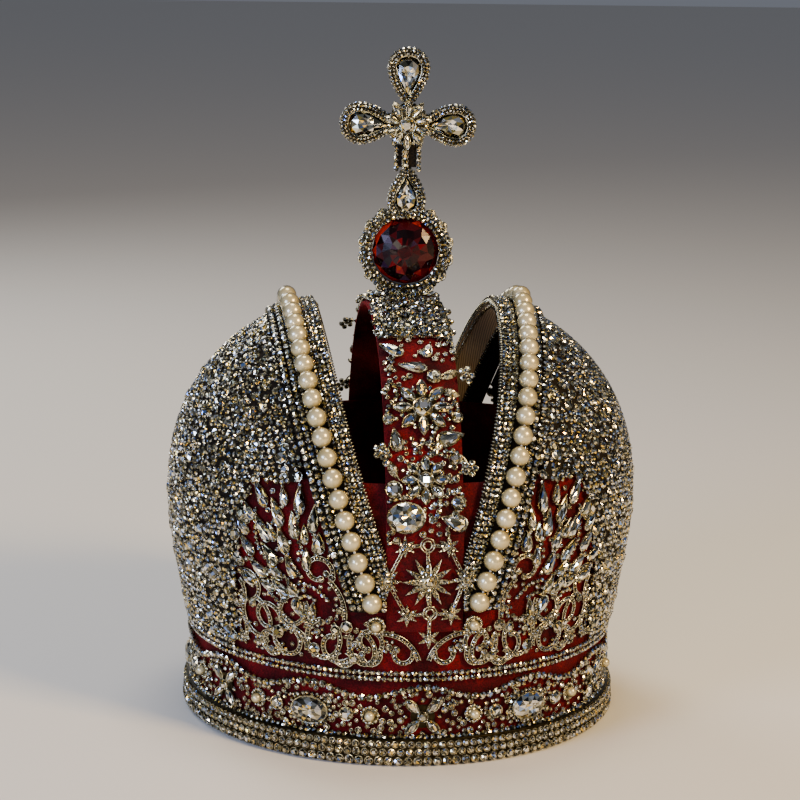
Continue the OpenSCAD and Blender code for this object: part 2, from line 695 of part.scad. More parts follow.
// Base band, which repeats every 60 degrees and whose stones clear the flare of the wall
band_turn = 60;
band_seat = stone_seat + 0.3;
module band_oval(i) {
    color(crystal) on_wall(30 + band_turn * i, band_z, band_seat, 90) cut_stone(oval_line(17, 12, 12), 4.6);
}
module band_oval_1() {
    band_oval(0);
}
module band_oval_2() {
    band_oval(1);
}
module band_oval_3() {
    band_oval(2);
}
module band_oval_4() {
    band_oval(3);
}
module band_oval_5() {
    band_oval(4);
}
module band_oval_6() {
    band_oval(5);
}
module band_navettes() {
    color(crystal) for (i = [0 : 5])
        on_wall(band_turn * i, band_z, band_seat) flower(4, 6.6, 8.2, 4, 2.4, 45);
}
module pearl_flower(r) {
    star(8, r, r * 0.72, 1.4);
    translate([0, 0, 2.2]) sphere(r = 2.4);
}
module band_pearl_flowers() {
    color(silver) for (i = [0 : 5], s = [-1, 1])
        on_wall(band_turn * i + s * 13.7, band_z, band_seat) pearl_flower(4.6);
}

// Pearl flowers at the four feet of the rims, over the ends of the scrolls
module foot_flowers() {
    flower_ang = 11.6;
    color(silver) for (turn = [0, 180], s = [-1, 1])
        rotate([0, 0, turn]) on_wall(s * flower_ang, rim_foot_z - 5.4, 0.1) pearl_flower(4.4);
}
module band_rounds() {
    color(crystal) for (i = [0 : 5], s = [-1, 1])
        on_wall(band_turn * i + s * 20, band_z, band_seat) {
            cylinder(r = 2.9, h = 1.6, $fn = 24);
            translate([0, 0, 1.2]) cylinder(r1 = 2.6, r2 = 1.4, h = 1.8, $fn = 24);
        }
}

velvet_wall();
base_hoop();
upper_chain();
wave_chain();
left_shell();
right_shell();
left_rim();
right_rim();
left_pearls();
right_pearls();
left_thread();
right_thread();
arch();
front_collar();
back_collar();
ruby_setting();
ruby();
cross_frame();
top_pear();
left_pear();
right_pear();
foot_pear();
front_cross_flower();
back_cross_flower();
front_upper_flower();
back_upper_flower();
front_lower_flower();
back_lower_flower();
front_oval();
back_oval();
front_drops();
back_drops();
front_leaves();
back_leaves();
front_beads();
back_beads();
front_rosette();
back_rosette();
front_left_scrolls();
front_right_scrolls();
back_left_scrolls();
back_right_scrolls();
front_left_spray();
front_right_spray();
back_left_spray();
back_right_spray();
band_oval_1();
band_oval_2();
band_oval_3();
band_oval_4();
band_oval_5();
band_oval_6();
band_navettes();
band_pearl_flowers();
band_rounds();
foot_flowers();
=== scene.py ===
"""Bridal crown of set stones, pearls and velvet. Lengths are worked out in millimetres."""

from collections import namedtuple

import bpy
import numpy as np
from mathutils import Matrix


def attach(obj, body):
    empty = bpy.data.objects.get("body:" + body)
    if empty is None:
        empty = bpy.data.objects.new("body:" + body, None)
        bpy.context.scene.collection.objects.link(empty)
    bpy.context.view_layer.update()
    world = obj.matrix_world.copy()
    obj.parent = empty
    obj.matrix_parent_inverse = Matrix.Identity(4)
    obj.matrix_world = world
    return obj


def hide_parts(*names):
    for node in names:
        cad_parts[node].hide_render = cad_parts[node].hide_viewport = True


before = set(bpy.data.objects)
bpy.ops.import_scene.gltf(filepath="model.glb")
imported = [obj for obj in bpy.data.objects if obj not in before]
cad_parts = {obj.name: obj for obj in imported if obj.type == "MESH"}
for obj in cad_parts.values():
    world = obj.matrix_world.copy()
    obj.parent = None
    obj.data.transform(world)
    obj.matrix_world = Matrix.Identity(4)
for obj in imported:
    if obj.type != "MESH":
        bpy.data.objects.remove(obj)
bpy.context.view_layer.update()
MM = 0.001
rng = np.random.default_rng(7)

# The crown's driving sizes, the same as in its construction; SEWN and VELVET are distances out of the dome
BASE_R, HALF_W, HALF_D = 97.5, 107.5, 97.0
WIDE_Z, TOP_Z, LEAN_Z, ARCH_Z, SIDE_POWER, POWER = 100.0, 194.0, 60.0, 186.0, 2.2, 2.25
FLARE_Z, RIM_FOOT_Z, RIM_SIDE, ARCH_W = 20.0, 68.0, 11.2, 33.0
SEWN, VELVET = -3.2, -3.7
BAND_Z, PEARL_D, PEARL_PITCH, PEARL_OUT = 21.5, 8.9, 9.3, 3.5
RUBY_R, RUBY_Z, CROSS_Z, TURN = 15.1, 208.65, 265.5, -9.0
# The pearl rows' distance from the middle by height, and the lower edge of the shells
PEARL_X, PEARL_LEAN, PEARL_FALL, PEARL_FOOT_Z = 21.2, 0.365, 0.00085, 70
SHELL_LOW_Z, SHELL_EDGE_RISE, EDGE_FROM, EDGE_OVER = 43, 79, 57, 13
# Radius at which the wall is unrolled, and the one that rounds the arch across its width
SHEET_R, ARCH_CROWN = 100, 210
# Distance out at which the ornaments of the band and of the arch are seated
BAND_SEAT, ARCH_SEAT = -3.15, 0.25
# Angles of the flowers at the rims' feet from the front, and of the band's ornaments from its navettes
FOOT_FLOWER_ANG, BAND_FLOWER_ANG, BAND_ROUND_ANG = 11.6, 13.7, 20
# Angles of the claws round an oval and round a small round stone
OVAL_CLAWS, ROUND_CLAWS = (20, 70, 110, 160, 200, 250, 290, 340), (45, 135, 225, 315)
SIDES = {"left": (-1, 1), "right": (1, 1)}
FOUR = {"front_right": (1, 1), "front_left": (-1, 1), "back_left": (-1, -1), "back_right": (1, -1)}
FACES = {"front": (1, 1), "back": (-1, -1)}


# Curves of the crown
def unit(v):
    return v / np.maximum(np.linalg.norm(v, axis=-1, keepdims=True), 1e-9)


def smooth(t):
    c = np.clip(t, 0, 1)
    return c * c * (3 - 2 * c)


def flare(z, r, end):
    return BASE_R + (r - BASE_R) * smooth((z - FLARE_Z) / (end - FLARE_Z))


def dome_x(z):
    t = np.clip((z - WIDE_Z) / (TOP_Z - WIDE_Z), 0, None)
    above = HALF_W * np.maximum(1e-4, 1 - t ** SIDE_POWER) ** (1 / SIDE_POWER)
    return np.where(z < WIDE_Z, flare(z, HALF_W, WIDE_Z), above)


def dome_y(z):
    t = np.clip((z - LEAN_Z) / (ARCH_Z - LEAN_Z), 0, None)
    above = HALF_D * np.maximum(1e-4, 1 - t ** POWER) ** (1 / POWER)
    return np.where(z < LEAN_Z, flare(z, HALF_D, LEAN_Z), above)


def dome_out(p):
    """Way out from the dome at points on it."""
    x, y, z = p[..., 0], p[..., 1], p[..., 2]
    a, b = dome_x(z), dome_y(z)
    da = (dome_x(z + 0.1) - dome_x(z - 0.1)) / 0.2
    db = (dome_y(z + 0.1) - dome_y(z - 0.1)) / 0.2
    return unit(np.stack([x / a ** 2, y / b ** 2, -x ** 2 * da / a ** 3 - y ** 2 * db / b ** 3], -1))


def dome_at(ang, z, out=0.0):
    """Points at angles from the front towards +X, and at heights, moved out by a distance."""
    ang, z = np.broadcast_arrays(np.radians(ang), np.asarray(z, float))
    p = np.stack([dome_x(z) * np.sin(ang), -dome_y(z) * np.cos(ang), z], -1)
    return p + np.asarray(out)[..., None] * dome_out(p)


def pearl_x(z):
    """Distance of the pearl row from the middle plane."""
    h = z - PEARL_FOOT_Z
    return PEARL_X + PEARL_LEAN * h - PEARL_FALL * h * h


def rim_at(k, phi, out=0.0):
    """Points k outside the pearl row, at angles over the crown from front to back."""
    k, t = np.broadcast_arrays(np.asarray(k, float), np.radians(phi))
    low, high = np.zeros(t.shape), np.minimum(125, (ARCH_Z - 1 - RIM_FOOT_Z) / np.maximum(np.sin(t), 1e-6))
    for _ in range(26):
        mid = (low + high) / 2
        z = RIM_FOOT_Z + mid * np.sin(t)
        x = np.maximum(ARCH_W / 2 + 1, pearl_x(z) + k)
        y = -mid * np.cos(t)
        over = (x / dome_x(z)) ** 2 + (y / dome_y(z)) ** 2 > 1
        low, high = np.where(over, low, mid), np.where(over, mid, high)
    p = np.stack([x, y, z], -1)
    return p + np.asarray(out)[..., None] * dome_out(p)


def signed_pow(v, e):
    return np.sign(v) * np.abs(v) ** e


def arch_out(psi):
    c, s, e = np.cos(np.radians(psi)), np.sin(np.radians(psi)), 2 - 2 / POWER
    return unit(np.stack([0 * c, -signed_pow(c, e) / HALF_D, signed_pow(s, e) / (ARCH_Z - LEAN_Z)], -1))


def arch_at(x, psi, out=0.0):
    x, psi = np.broadcast_arrays(np.asarray(x, float), np.asarray(psi, float))
    c, s = np.cos(np.radians(psi)), np.sin(np.radians(psi))
    mid = np.stack([x, -HALF_D * signed_pow(c, 2 / POWER),
                    LEAN_Z + (ARCH_Z - LEAN_Z) * signed_pow(s, 2 / POWER)], -1)
    return mid + (np.asarray(out) - x * x / ARCH_CROWN)[..., None] * arch_out(psi)


def arch_psi(z):
    t = (np.asarray(z, float) - LEAN_Z) / (ARCH_Z - LEAN_Z)
    return np.degrees(np.arcsin(np.clip(signed_pow(t, POWER / 2), -1, 1)))


def finial(x, z, out=0.0):
    """Points on the finial's own plane: sideways, height and forward."""
    x, z, out = np.broadcast_arrays(np.asarray(x, float), z, out)
    c, s = np.cos(np.radians(TURN)), np.sin(np.radians(TURN))
    return np.stack([c * x + s * out, s * x - c * out, z], -1)


def axes(x, z, turn=0.0):
    """Axes as matrices, with Z the way out and X towards a given way, turned about Z."""
    z = unit(np.asarray(z, float))
    x = unit(x - np.sum(x * z, -1, keepdims=True) * z)
    y = np.cross(z, x)
    c, s = np.cos(np.radians(turn))[..., None], np.sin(np.radians(turn))[..., None]
    return np.stack([x * c + y * s, y * c - x * s, z + 0 * c], -1)


def on_wall(ang, z, out, turn=0.0):
    p = np.atleast_2d(dome_at(ang, z))
    way = dome_out(p)
    turn = np.broadcast_to(np.asarray(turn, float), len(p))
    return p + np.broadcast_to(out, len(p))[:, None] * way, axes(np.cross([0, 0, 1], way), way, turn)


def on_sheet(s, z, out, turn=0.0):
    """As on_wall, by the distance along the unrolled wall."""
    return on_wall(np.degrees(np.asarray(s, float) / SHEET_R), z, out, turn)


def on_arch(x, z, out, turn=0.0):
    x, psi, turn, out = (np.atleast_1d(a).astype(float)
                         for a in np.broadcast_arrays(x, arch_psi(z), turn, out))
    way = arch_out(psi)
    return arch_at(x, psi, out), axes(np.tile([1.0, 0, 0], (len(x), 1)), way, turn)


def on_finial(x, z, out, turn=0.0, back=False):
    x, z, turn, out = (np.atleast_1d(a).astype(float) for a in np.broadcast_arrays(x, z, turn, out))
    across = finial(1, 0) - finial(0, 0)
    way = finial(0, 0, 1)
    if back:
        across, way, out = -across, -way, -out
    return finial(x, z, out), axes(np.tile(across, (len(x), 1)), np.tile(way, (len(x), 1)), turn)


# Faces of a piece
Shape = namedtuple("Shape", "verts loops sizes mats names")


def shape(verts, groups):
    """Points with their faces, given as pairs of a finish and its faces."""
    return Shape(np.array(verts, float), np.array([i for g in groups for f in g[1] for i in f]),
                 np.array([len(f) for g in groups for f in g[1]]),
                 np.repeat(np.arange(len(groups)), [len(g[1]) for g in groups]), tuple(g[0] for g in groups))


def joined(*shapes):
    """Several shapes made one."""
    verts = np.concatenate([s.verts for s in shapes])
    starts = np.cumsum([0] + [len(s.verts) for s in shapes])
    firsts = np.cumsum([0] + [len(s.names) for s in shapes])
    return Shape(verts, np.concatenate([s.loops + a for s, a in zip(shapes, starts)]),
                 np.concatenate([s.sizes for s in shapes]),
                 np.concatenate([s.mats + a for s, a in zip(shapes, firsts)]),
                 sum((s.names for s in shapes), ()))


def moved(s, by=(0, 0, 0), scale=1.0, turn=0.0):
    c, n = np.cos(np.radians(turn)), np.sin(np.radians(turn))
    return s._replace(verts=(s.verts * scale) @ np.array([[c, n, 0], [-n, c, 0], [0, 0, 1]]) + by)


def band(a, n):
    """Faces between two rings of n points, the first of which starts at point a."""
    return [(a + j, a + (j + 1) % n, a + n + (j + 1) % n, a + n + j) for j in range(n)]


def banded(rings, finishes, top=None, bottom=None):
    n = len(rings[0])
    groups = [(f, band(i * n, n)) for i, f in enumerate(finishes) if f]
    if top:
        groups.append((top, [tuple(range((len(rings) - 1) * n, len(rings) * n))]))
    if bottom:
        groups.append((bottom, [tuple(range(n - 1, -1, -1))]))
    return shape(np.concatenate(rings), groups)


def ring(n, r, z, first=0.0):
    t = np.radians(first) + 2 * np.pi * np.arange(n) / n
    return np.stack([r * np.cos(t), r * np.sin(t), np.full(n, float(z))], -1)


def ball(n, rows, finish):
    t = np.radians(np.linspace(-76, 76, rows))
    return banded([ring(n, np.cos(a), np.sin(a)) for a in t], [finish] * (rows - 1), finish, finish)


def oval_line(l, w):
    return lambda t: np.stack([-w / 2 * np.sin(t), l / 2 * np.cos(t)], -1)


def navette_line(l, w):
    return lambda t: np.stack([-w / 2 * np.sin(t) * np.abs(np.sin(t)) ** 0.8, l / 2 * np.cos(t)], -1)


def drop_line(l, w):
    return lambda t: np.stack([-w / 2 * 1.3 * np.sin(t) * np.abs(np.sin(t / 2)) ** 1.3,
                               l / 2 * np.cos(t)], -1)


def flat_ring(line, n, z, scale=1.0, step=0.0, grow=0.0):
    t = 2 * np.pi * (np.arange(n) + step) / n
    p = line(t) * scale
    if grow:
        ahead = unit(line(t + 0.05) - line(t - 0.05))
        p = p + grow * np.stack([ahead[:, 1], -ahead[:, 0]], -1)
    return np.column_stack([p, np.full(n, float(z))])


def gem(line, n, high, girdle=0.42, table=0.5, rim=0.45, claws=(), star=False):
    """Cut stone in a thin bezel that stands on its face; a large one shows a star of facets in its table."""
    g = high * girdle
    rings = [flat_ring(line, n, g), flat_ring(line, n, g + 0.62 * (high - g), 0.8, 0.5),
             flat_ring(line, n, high, table)]
    crown = [(j, (j + 1) % n, n + j) for j in range(n)]
    crown += [(n + j, (j + 1) % n, n + (j + 1) % n, 2 * n + (j + 1) % n) for j in range(n)]
    crown += [(n + j, 2 * n + (j + 1) % n, 2 * n + j) for j in range(n)]
    if star:
        rings += [flat_ring(line, n, high - 0.25, table * 0.55, 0.5), np.array([[0.4, -0.5, high - 0.45]])]
        crown += [(2 * n + j, 2 * n + (j + 1) % n, 3 * n + j) for j in range(n)]
        crown += [(3 * n + j, 2 * n + (j + 1) % n, 3 * n + (j + 1) % n) for j in range(n)]
        crown += [(3 * n + j, 3 * n + (j + 1) % n, 4 * n) for j in range(n)]
    else:
        crown.append(tuple(range(2 * n, 3 * n)))
    # The crown takes the hand cut finish, whose facets carry painted shades and painted glints
    top = shape(np.concatenate(rings), [("cut", crown)])
    m = 2 * n
    rings = [flat_ring(line, m, 0, grow=rim * 0.7), flat_ring(line, m, g * 0.9, grow=rim),
             flat_ring(line, m, g + 0.22, grow=rim * 0.5), flat_ring(line, m, g + 0.1, 0.96)]
    parts = [top, banded(rings, ["silver"] * 3, None, "silver")]
    claw = moved(ball(6, 3, "silver"), scale=(0.42, 0.42, 0.6))
    for t in claws:
        x, y = line(np.radians(np.array([t])))[0]
        parts.append(moved(claw, (x, y, g + 0.3)))
    return joined(*parts)


def plain_stone(n, high=1.12, cup=0.72):
    """Round stone of radius 1 in a metal cup whose edge is too thin to see, for the many small ones."""
    return banded([ring(n, 0.84, 0), ring(n, 0.97, cup), ring(n, 0.5, high)], ["silver", "painted_glint_crystal"], "painted_glint_crystal")


def cup_stone(n, high=1.12, cup=0.72):
    """Round stone of radius 1 in a metal cup."""
    return banded([ring(n, 0.84, 0), ring(n, 1.0, cup), ring(n, 0.9, cup + 0.02), ring(n, 0.5, high)],
                  ["silver", "silver", "painted_glint_crystal"], "painted_glint_crystal")


def claw_stone(n, claws=4):
    """Round stone of radius 1 with claws over its edge."""
    claw = moved(banded([ring(4, 1.0, -1), ring(4, 0.6, 1)], ["silver"], "silver"), scale=(0.17, 0.17, 0.28))
    parts = [cup_stone(n)]
    for t in np.radians(45 + 360 * np.arange(claws) / claws):
        parts.append(moved(claw, (0.86 * np.cos(t), 0.86 * np.sin(t), 0.78)))
    return joined(*parts)


class Heap:
    """Faces gathered for one piece."""

    def __init__(self):
        self.names, self.count = [], 0
        self.verts, self.loops, self.sizes, self.mats, self.rounds, self.tints = [], [], [], [], [], []

    def finish(self, name):
        if name not in self.names:
            self.names.append(name)
        return self.names.index(name)

    def add(self, verts, loops, sizes, mats, rounded=False, tint=0.5):
        self.verts.append(verts)
        self.loops.append(loops + self.count)
        self.sizes.append(sizes)
        self.mats.append(np.broadcast_to(mats, len(sizes)))
        self.rounds.append(np.full(len(sizes), rounded))
        self.tints.append(np.broadcast_to(tint, len(verts)))
        self.count += len(verts)

    def copies(self, s, at, turn, scale=1.0, rounded=False):
        n, m = len(at), len(s.verts)
        if n == 0:
            return
        scale = np.broadcast_to(scale, n)[:, None, None]
        verts = at[:, None] + np.einsum("nij,nmj->nmi", turn, s.verts[None] * scale)
        own = np.array([self.finish(x) for x in s.names])
        loops = (s.loops[None] + m * np.arange(n)[:, None]).ravel()
        self.add(verts.reshape(-1, 3), loops, np.tile(s.sizes, n), np.tile(own[s.mats], n), rounded,
                 np.repeat(rng.random(n), m))

    def grid(self, p, name, wrap_u=False, wrap_v=False, rounded=True, flip=False):
        """Surface through a net of points, whose normal is along u crossed with along v."""
        nu, nv = p.shape[:2]
        i, j = np.meshgrid(np.arange(nu if wrap_u else nu - 1), np.arange(nv if wrap_v else nv - 1),
                           indexing="ij")
        a, b = (i + 1) % nu, (j + 1) % nv
        faces = np.stack([i * nv + j, a * nv + j, a * nv + b, i * nv + b], -1).reshape(-1, 4)
        faces = faces[:, ::-1] if flip else faces
        self.add(p.reshape(-1, 3), faces.ravel(), np.full(len(faces), 4), self.finish(name), rounded)

    def tube(self, pts, outs, r, name, sides=5, closed=False, flat=1.0):
        """Round wire along points, flattened by a share along the way out."""
        d = np.roll(pts, -1, 0) - np.roll(pts, 1, 0)
        if not closed:
            d[0], d[-1] = pts[1] - pts[0], pts[-1] - pts[-2]
        d = unit(d)
        side = unit(np.cross(d, outs))
        up = np.cross(side, d)
        a = 2 * np.pi * np.arange(sides) / sides
        r = np.broadcast_to(r, len(pts))[:, None, None]
        p = pts[:, None] + r * (np.cos(a)[:, None] * side[:, None] + flat * np.sin(a)[:, None] * up[:, None])
        self.grid(p, name, wrap_u=closed, wrap_v=True)
        if not closed:
            self.add(p[0], np.arange(sides), np.array([sides]), self.finish(name))
            self.add(p[-1], np.arange(sides)[::-1], np.array([sides]), self.finish(name))

    def piece(self, name, slot, *nodes, signs=(1, 1)):
        """Makes the mesh, mirrored or turned to the back by its signs, in place of CAD nodes."""
        verts = np.concatenate(self.verts) * (signs[0], signs[1], 1) * MM
        loops, sizes = np.concatenate(self.loops), np.concatenate(self.sizes)
        starts = np.cumsum(sizes) - sizes
        if signs[0] * signs[1] < 0:
            loops = loops[np.repeat(2 * starts + sizes - 1, sizes) - np.arange(len(loops))]
        me = bpy.data.meshes.new(name)
        me.vertices.add(len(verts))
        me.vertices.foreach_set("co", verts.astype(np.float32).ravel())
        me.loops.add(len(loops))
        me.loops.foreach_set("vertex_index", loops.astype(np.int32))
        me.polygons.add(len(sizes))
        me.polygons.foreach_set("loop_start", starts.astype(np.int32))
        me.polygons.foreach_set("material_index", np.concatenate(self.mats).astype(np.int32))
        me.polygons.foreach_set("use_smooth", np.concatenate(self.rounds))
        for finish in self.names:
            me.materials.append(FINISHES[finish])
        tint = me.attributes.new("tint", "FLOAT", "POINT")
        tint.data.foreach_set("value", np.concatenate(self.tints).astype(np.float32))
        me.update(calc_edges=True)
        me.validate()
        obj = bpy.data.objects.new(name, me)
        bpy.context.scene.collection.objects.link(obj)
        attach(obj, "root")
        if nodes:
            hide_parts(*nodes)
        return obj


def lengths(pts):
    """Distance along a line at each of its points."""
    return np.concatenate([[0], np.cumsum(np.linalg.norm(np.diff(pts, axis=0), axis=1))])


def at_length(line, run, d):
    """Points of a line, or of what goes with it, at distances along it."""
    return np.stack([np.interp(d, run, line[:, a]) for a in range(3)], -1)


def border(net):
    """Closed line round the edge of a net of points."""
    return np.concatenate([net[:, 0], net[-1], net[::-1, -1], net[0, ::-1]])


def spaced(pts, outs, pitch, closed=False):
    """Even points along a line, each with the way out and the way along."""
    if closed:
        pts, outs = np.vstack([pts, pts[:1]]), np.vstack([outs, outs[:1]])
    run = lengths(pts)
    n = max(1, round(run[-1] / pitch))
    d = (np.arange(n) + 0.5) * run[-1] / n
    ahead = unit(at_length(pts, run, d + 0.2) - at_length(pts, run, d - 0.2))
    return at_length(pts, run, d), unit(at_length(outs, run, d)), ahead


def chain(heap, s, pts, outs, pitch, scale, low=0.0, closed=False, lean=0.06):
    """Row of set stones along a line."""
    at, out, ahead = spaced(pts, outs, pitch, closed)
    out = out + lean * rng.normal(size=out.shape)
    heap.copies(s, at + low * unit(out), axes(ahead, out, np.zeros(len(at))), scale)


def scattered(points, radii, share=0.97, given=0):
    """Indices of points that keep clear of each other, in their order; a given first number always stays."""
    cell, kept, cells = 2 * radii.max(), [], {}
    for i, (p, r) in enumerate(zip(points, radii)):
        key = tuple((p // cell).astype(int))
        near = [j for a in (-1, 0, 1) for b in (-1, 0, 1) for c in (-1, 0, 1)
                for j in cells.get((key[0] + a, key[1] + b, key[2] + c), ())]
        if near and i >= given:
            gaps = np.linalg.norm(points[near] - p, axis=1) - share * (radii[near] + r)
            if gaps.min() < 0:
                continue
        kept.append(i)
        cells.setdefault(key, []).append(i)
    return np.array(kept)


# Finishes
def linear(code):
    """sRGB hex colour, or a plain number, as the linear colour that shaders take."""
    if not isinstance(code, str):
        return (code, code, code, 1.0)
    c = np.array([int(code[i:i + 2], 16) / 255 for i in (1, 3, 5)])
    c = np.where(c <= 0.04045, c / 12.92, ((c + 0.055) / 1.055) ** 2.4)
    return (*c, 1.0)


def add(tree, kind, fixed=(), links=(), stops=(), stepped=False, **settings):
    """Adds one node with its settings, its colour stops, its fixed inputs and its links."""
    n = tree.nodes.new(kind)
    for key, value in settings.items():
        setattr(n, key, value)
    for key, value in fixed:
        n.inputs[key].default_value = value
    for key, source in links:
        tree.links.new(source, n.inputs[key])
    if stops:
        n.color_ramp.interpolation = "CONSTANT" if stepped else "LINEAR"
        for _ in stops[2:]:
            n.color_ramp.elements.new(0.5)
        for stop, (place, code) in zip(n.color_ramp.elements, stops):
            stop.position, stop.color = place, linear(code)
    return n


def finish_of(name, fixed, build=None):
    """Material with one principled shader, whose links the build function gives."""
    m = bpy.data.materials.new(name)
    m.use_nodes = True
    t = m.node_tree
    t.nodes.clear()
    where = add(t, "ShaderNodeTexCoord").outputs["Object"]
    links = build(t, where) if build else ()
    shader = add(t, "ShaderNodeBsdfPrincipled", fixed, links)
    add(t, "ShaderNodeOutputMaterial", (), [("Surface", shader.outputs[0])])
    return m


def facets(t, strength):
    """Normal that leans at random on each flat face, and a random value for each face that the finishes turn
    into painted shade and painted glints.
    """
    way = add(t, "ShaderNodeNewGeometry")
    face = add(t, "ShaderNodeVectorMath", [("Scale", 37.0)], [(0, way.outputs["True Normal"])],
               operation="SCALE")
    place = add(t, "ShaderNodeAttribute", attribute_name="tint")
    spot = add(t, "ShaderNodeVectorMath", (), [(0, face.outputs[0]), (1, place.outputs["Vector"])],
               operation="ADD")
    chance = add(t, "ShaderNodeTexWhiteNoise", (), [("Vector", spot.outputs[0])], noise_dimensions="3D")
    mid = add(t, "ShaderNodeVectorMath", [(1, (0.5, 0.5, 0.5))], [(0, chance.outputs["Color"])],
              operation="SUBTRACT")
    lean = add(t, "ShaderNodeVectorMath", [("Scale", strength)], [(0, mid.outputs[0])], operation="SCALE")
    both = add(t, "ShaderNodeVectorMath", (), [(0, lean.outputs[0]), (1, way.outputs["Normal"])],
               operation="ADD")
    normal = add(t, "ShaderNodeVectorMath", (), [(0, both.outputs[0])], operation="NORMALIZE")
    return normal.outputs[0], chance.outputs["Value"]


def rhodium_plated_brass():
    """Cast and plated settings: grey with a warm cast, and a polish that varies at random from spot to spot.
    """
    def build(t, where):
        cloud = add(t, "ShaderNodeTexNoise", [("Scale", 1 / (1.4 * MM)), ("Detail", 3.0)],
                    [("Vector", where)])
        fac = [("Fac", cloud.outputs["Fac"])]
        rough = add(t, "ShaderNodeValToRGB", (), fac, stops=[(0.35, 0.14), (0.7, 0.34)])
        colour = add(t, "ShaderNodeValToRGB", (), fac, stops=[(0.3, "#767058"), (0.65, "#cfc8ab")])
        bump = add(t, "ShaderNodeBump", [("Strength", 0.25), ("Distance", 0.0001)],
                   [("Height", cloud.outputs["Fac"])])
        return [("Base Color", colour.outputs[0]), ("Roughness", rough.outputs[0]),
                ("Normal", bump.outputs[0])]
    return finish_of("rhodium plated brass, cast", [("Metallic", 1.0)], build)


def dark_ground_brass():
    """Dark brass of the grounds and sides, coloured nearly black so that the gaps between the bright stones
    look dark.
    """
    def build(t, where):
        cloud = add(t, "ShaderNodeTexNoise", [("Scale", 1 / (2.5 * MM)), ("Detail", 3.0)],
                    [("Vector", where)])
        colour = add(t, "ShaderNodeValToRGB", (), [("Fac", cloud.outputs["Fac"])],
                     stops=[(0.3, "#1a160d"), (0.7, "#3a3220")])
        return [("Base Color", colour.outputs[0])]
    return finish_of("dark brass of the grounds", [("Metallic", 1.0), ("Roughness", 0.35)], build)


def foiled_crystal(name, lean, stops):
    """Lead glass over foil: each facet is one flat spot of painted light, from nearly black painted shade to
    brilliant white painted glint, standing in for the reflections inside the stone.
    """
    def build(t, where):
        normal, shade = facets(t, lean)
        colour = add(t, "ShaderNodeValToRGB", (), [("Fac", shade)], stepped=True, stops=stops)
        return [("Base Color", colour.outputs[0]), ("Normal", normal)]
    return finish_of(name, [("Metallic", 1.0), ("Roughness", 0.09), ("Coat Weight", 0.6),
                            ("Coat Roughness", 0.02)], build)


def machine_cut_crystal():
    """Small round stones: facets painted mostly dark as shade, with painted glints of white, yellow and blue.
    """
    return foiled_crystal("lead glass over foil, machine cut, painted glints", 0.7,
                          [(0.0, "#14130c"), (0.17, "#403d2b"), (0.34, "#7d785c"), (0.5, "#b8b190"),
                           (0.64, "#ebe4c8"), (0.76, "#ffffff"), (0.86, "#ffd65c"), (0.94, "#86b2ff")])


def hand_cut_crystal():
    """Drops and navettes: larger facets, whose painted shades and glints are paler than those of the small
    stones.
    """
    return foiled_crystal("lead glass over foil, hand cut, painted glints", 0.5,
                          [(0.0, "#2b2a20"), (0.15, "#6f6c57"), (0.31, "#b3af97"), (0.49, "#e2dfcd"),
                           (0.66, "#ffffff"), (0.85, "#ffdc6e"), (0.93, "#93bbff")])


def glass_pearl():
    """Lacquered glass pearl under a smooth coat: cream where it faces the eye, and painted brown towards its
    edge as painted shade.
    """
    def build(t, where):
        cloud = add(t, "ShaderNodeTexNoise", [("Scale", 1 / (5 * MM)), ("Detail", 2.0)], [("Vector", where)])
        edge = add(t, "ShaderNodeLayerWeight", [("Blend", 0.35)])
        # Painted shade: the colour turns from cream to dark brown as the surface turns away from the eye
        painted_edge_shade = add(t, "ShaderNodeValToRGB", (), [("Fac", edge.outputs["Facing"])],
                   stops=[(0.0, "#e6dcb8"), (0.42, "#b3a577"), (0.8, "#5d4f2e"), (1.0, "#2c2413")])
        soft = add(t, "ShaderNodeValToRGB", (), [("Fac", cloud.outputs["Fac"])],
                   stops=[(0.3, "#e6e0c8"), (0.7, "#ffffff")])
        mix = add(t, "ShaderNodeMix", [("Factor", 1.0)], [(6, painted_edge_shade.outputs[0]), (7, soft.outputs[0])],
                  data_type="RGBA", blend_type="MULTIPLY")
        return [("Base Color", mix.outputs[2])]
    return finish_of("glass pearl, lacquered",
                     [("Roughness", 0.26), ("Coat Weight", 1.0), ("Coat Roughness", 0.08),
                      ("Metallic", 0.45)], build)


def red_glass(name, stops):
    """Deep red pressed glass over foil: a painted shade on each facet, dark in the body and bright as a
    painted glow on the rim, under a clear coat.
    """
    def build(t, where):
        normal, shade = facets(t, 0.3)
        colour = add(t, "ShaderNodeValToRGB", (), [("Fac", shade)], stepped=True, stops=stops)
        return [("Base Color", colour.outputs[0]), ("Normal", normal)]
    return finish_of(name, [("Metallic", 0.3), ("Roughness", 0.14), ("Specular IOR Level", 0.25),
                            ("Coat Weight", 0.12), ("Coat Roughness", 0.02)], build)


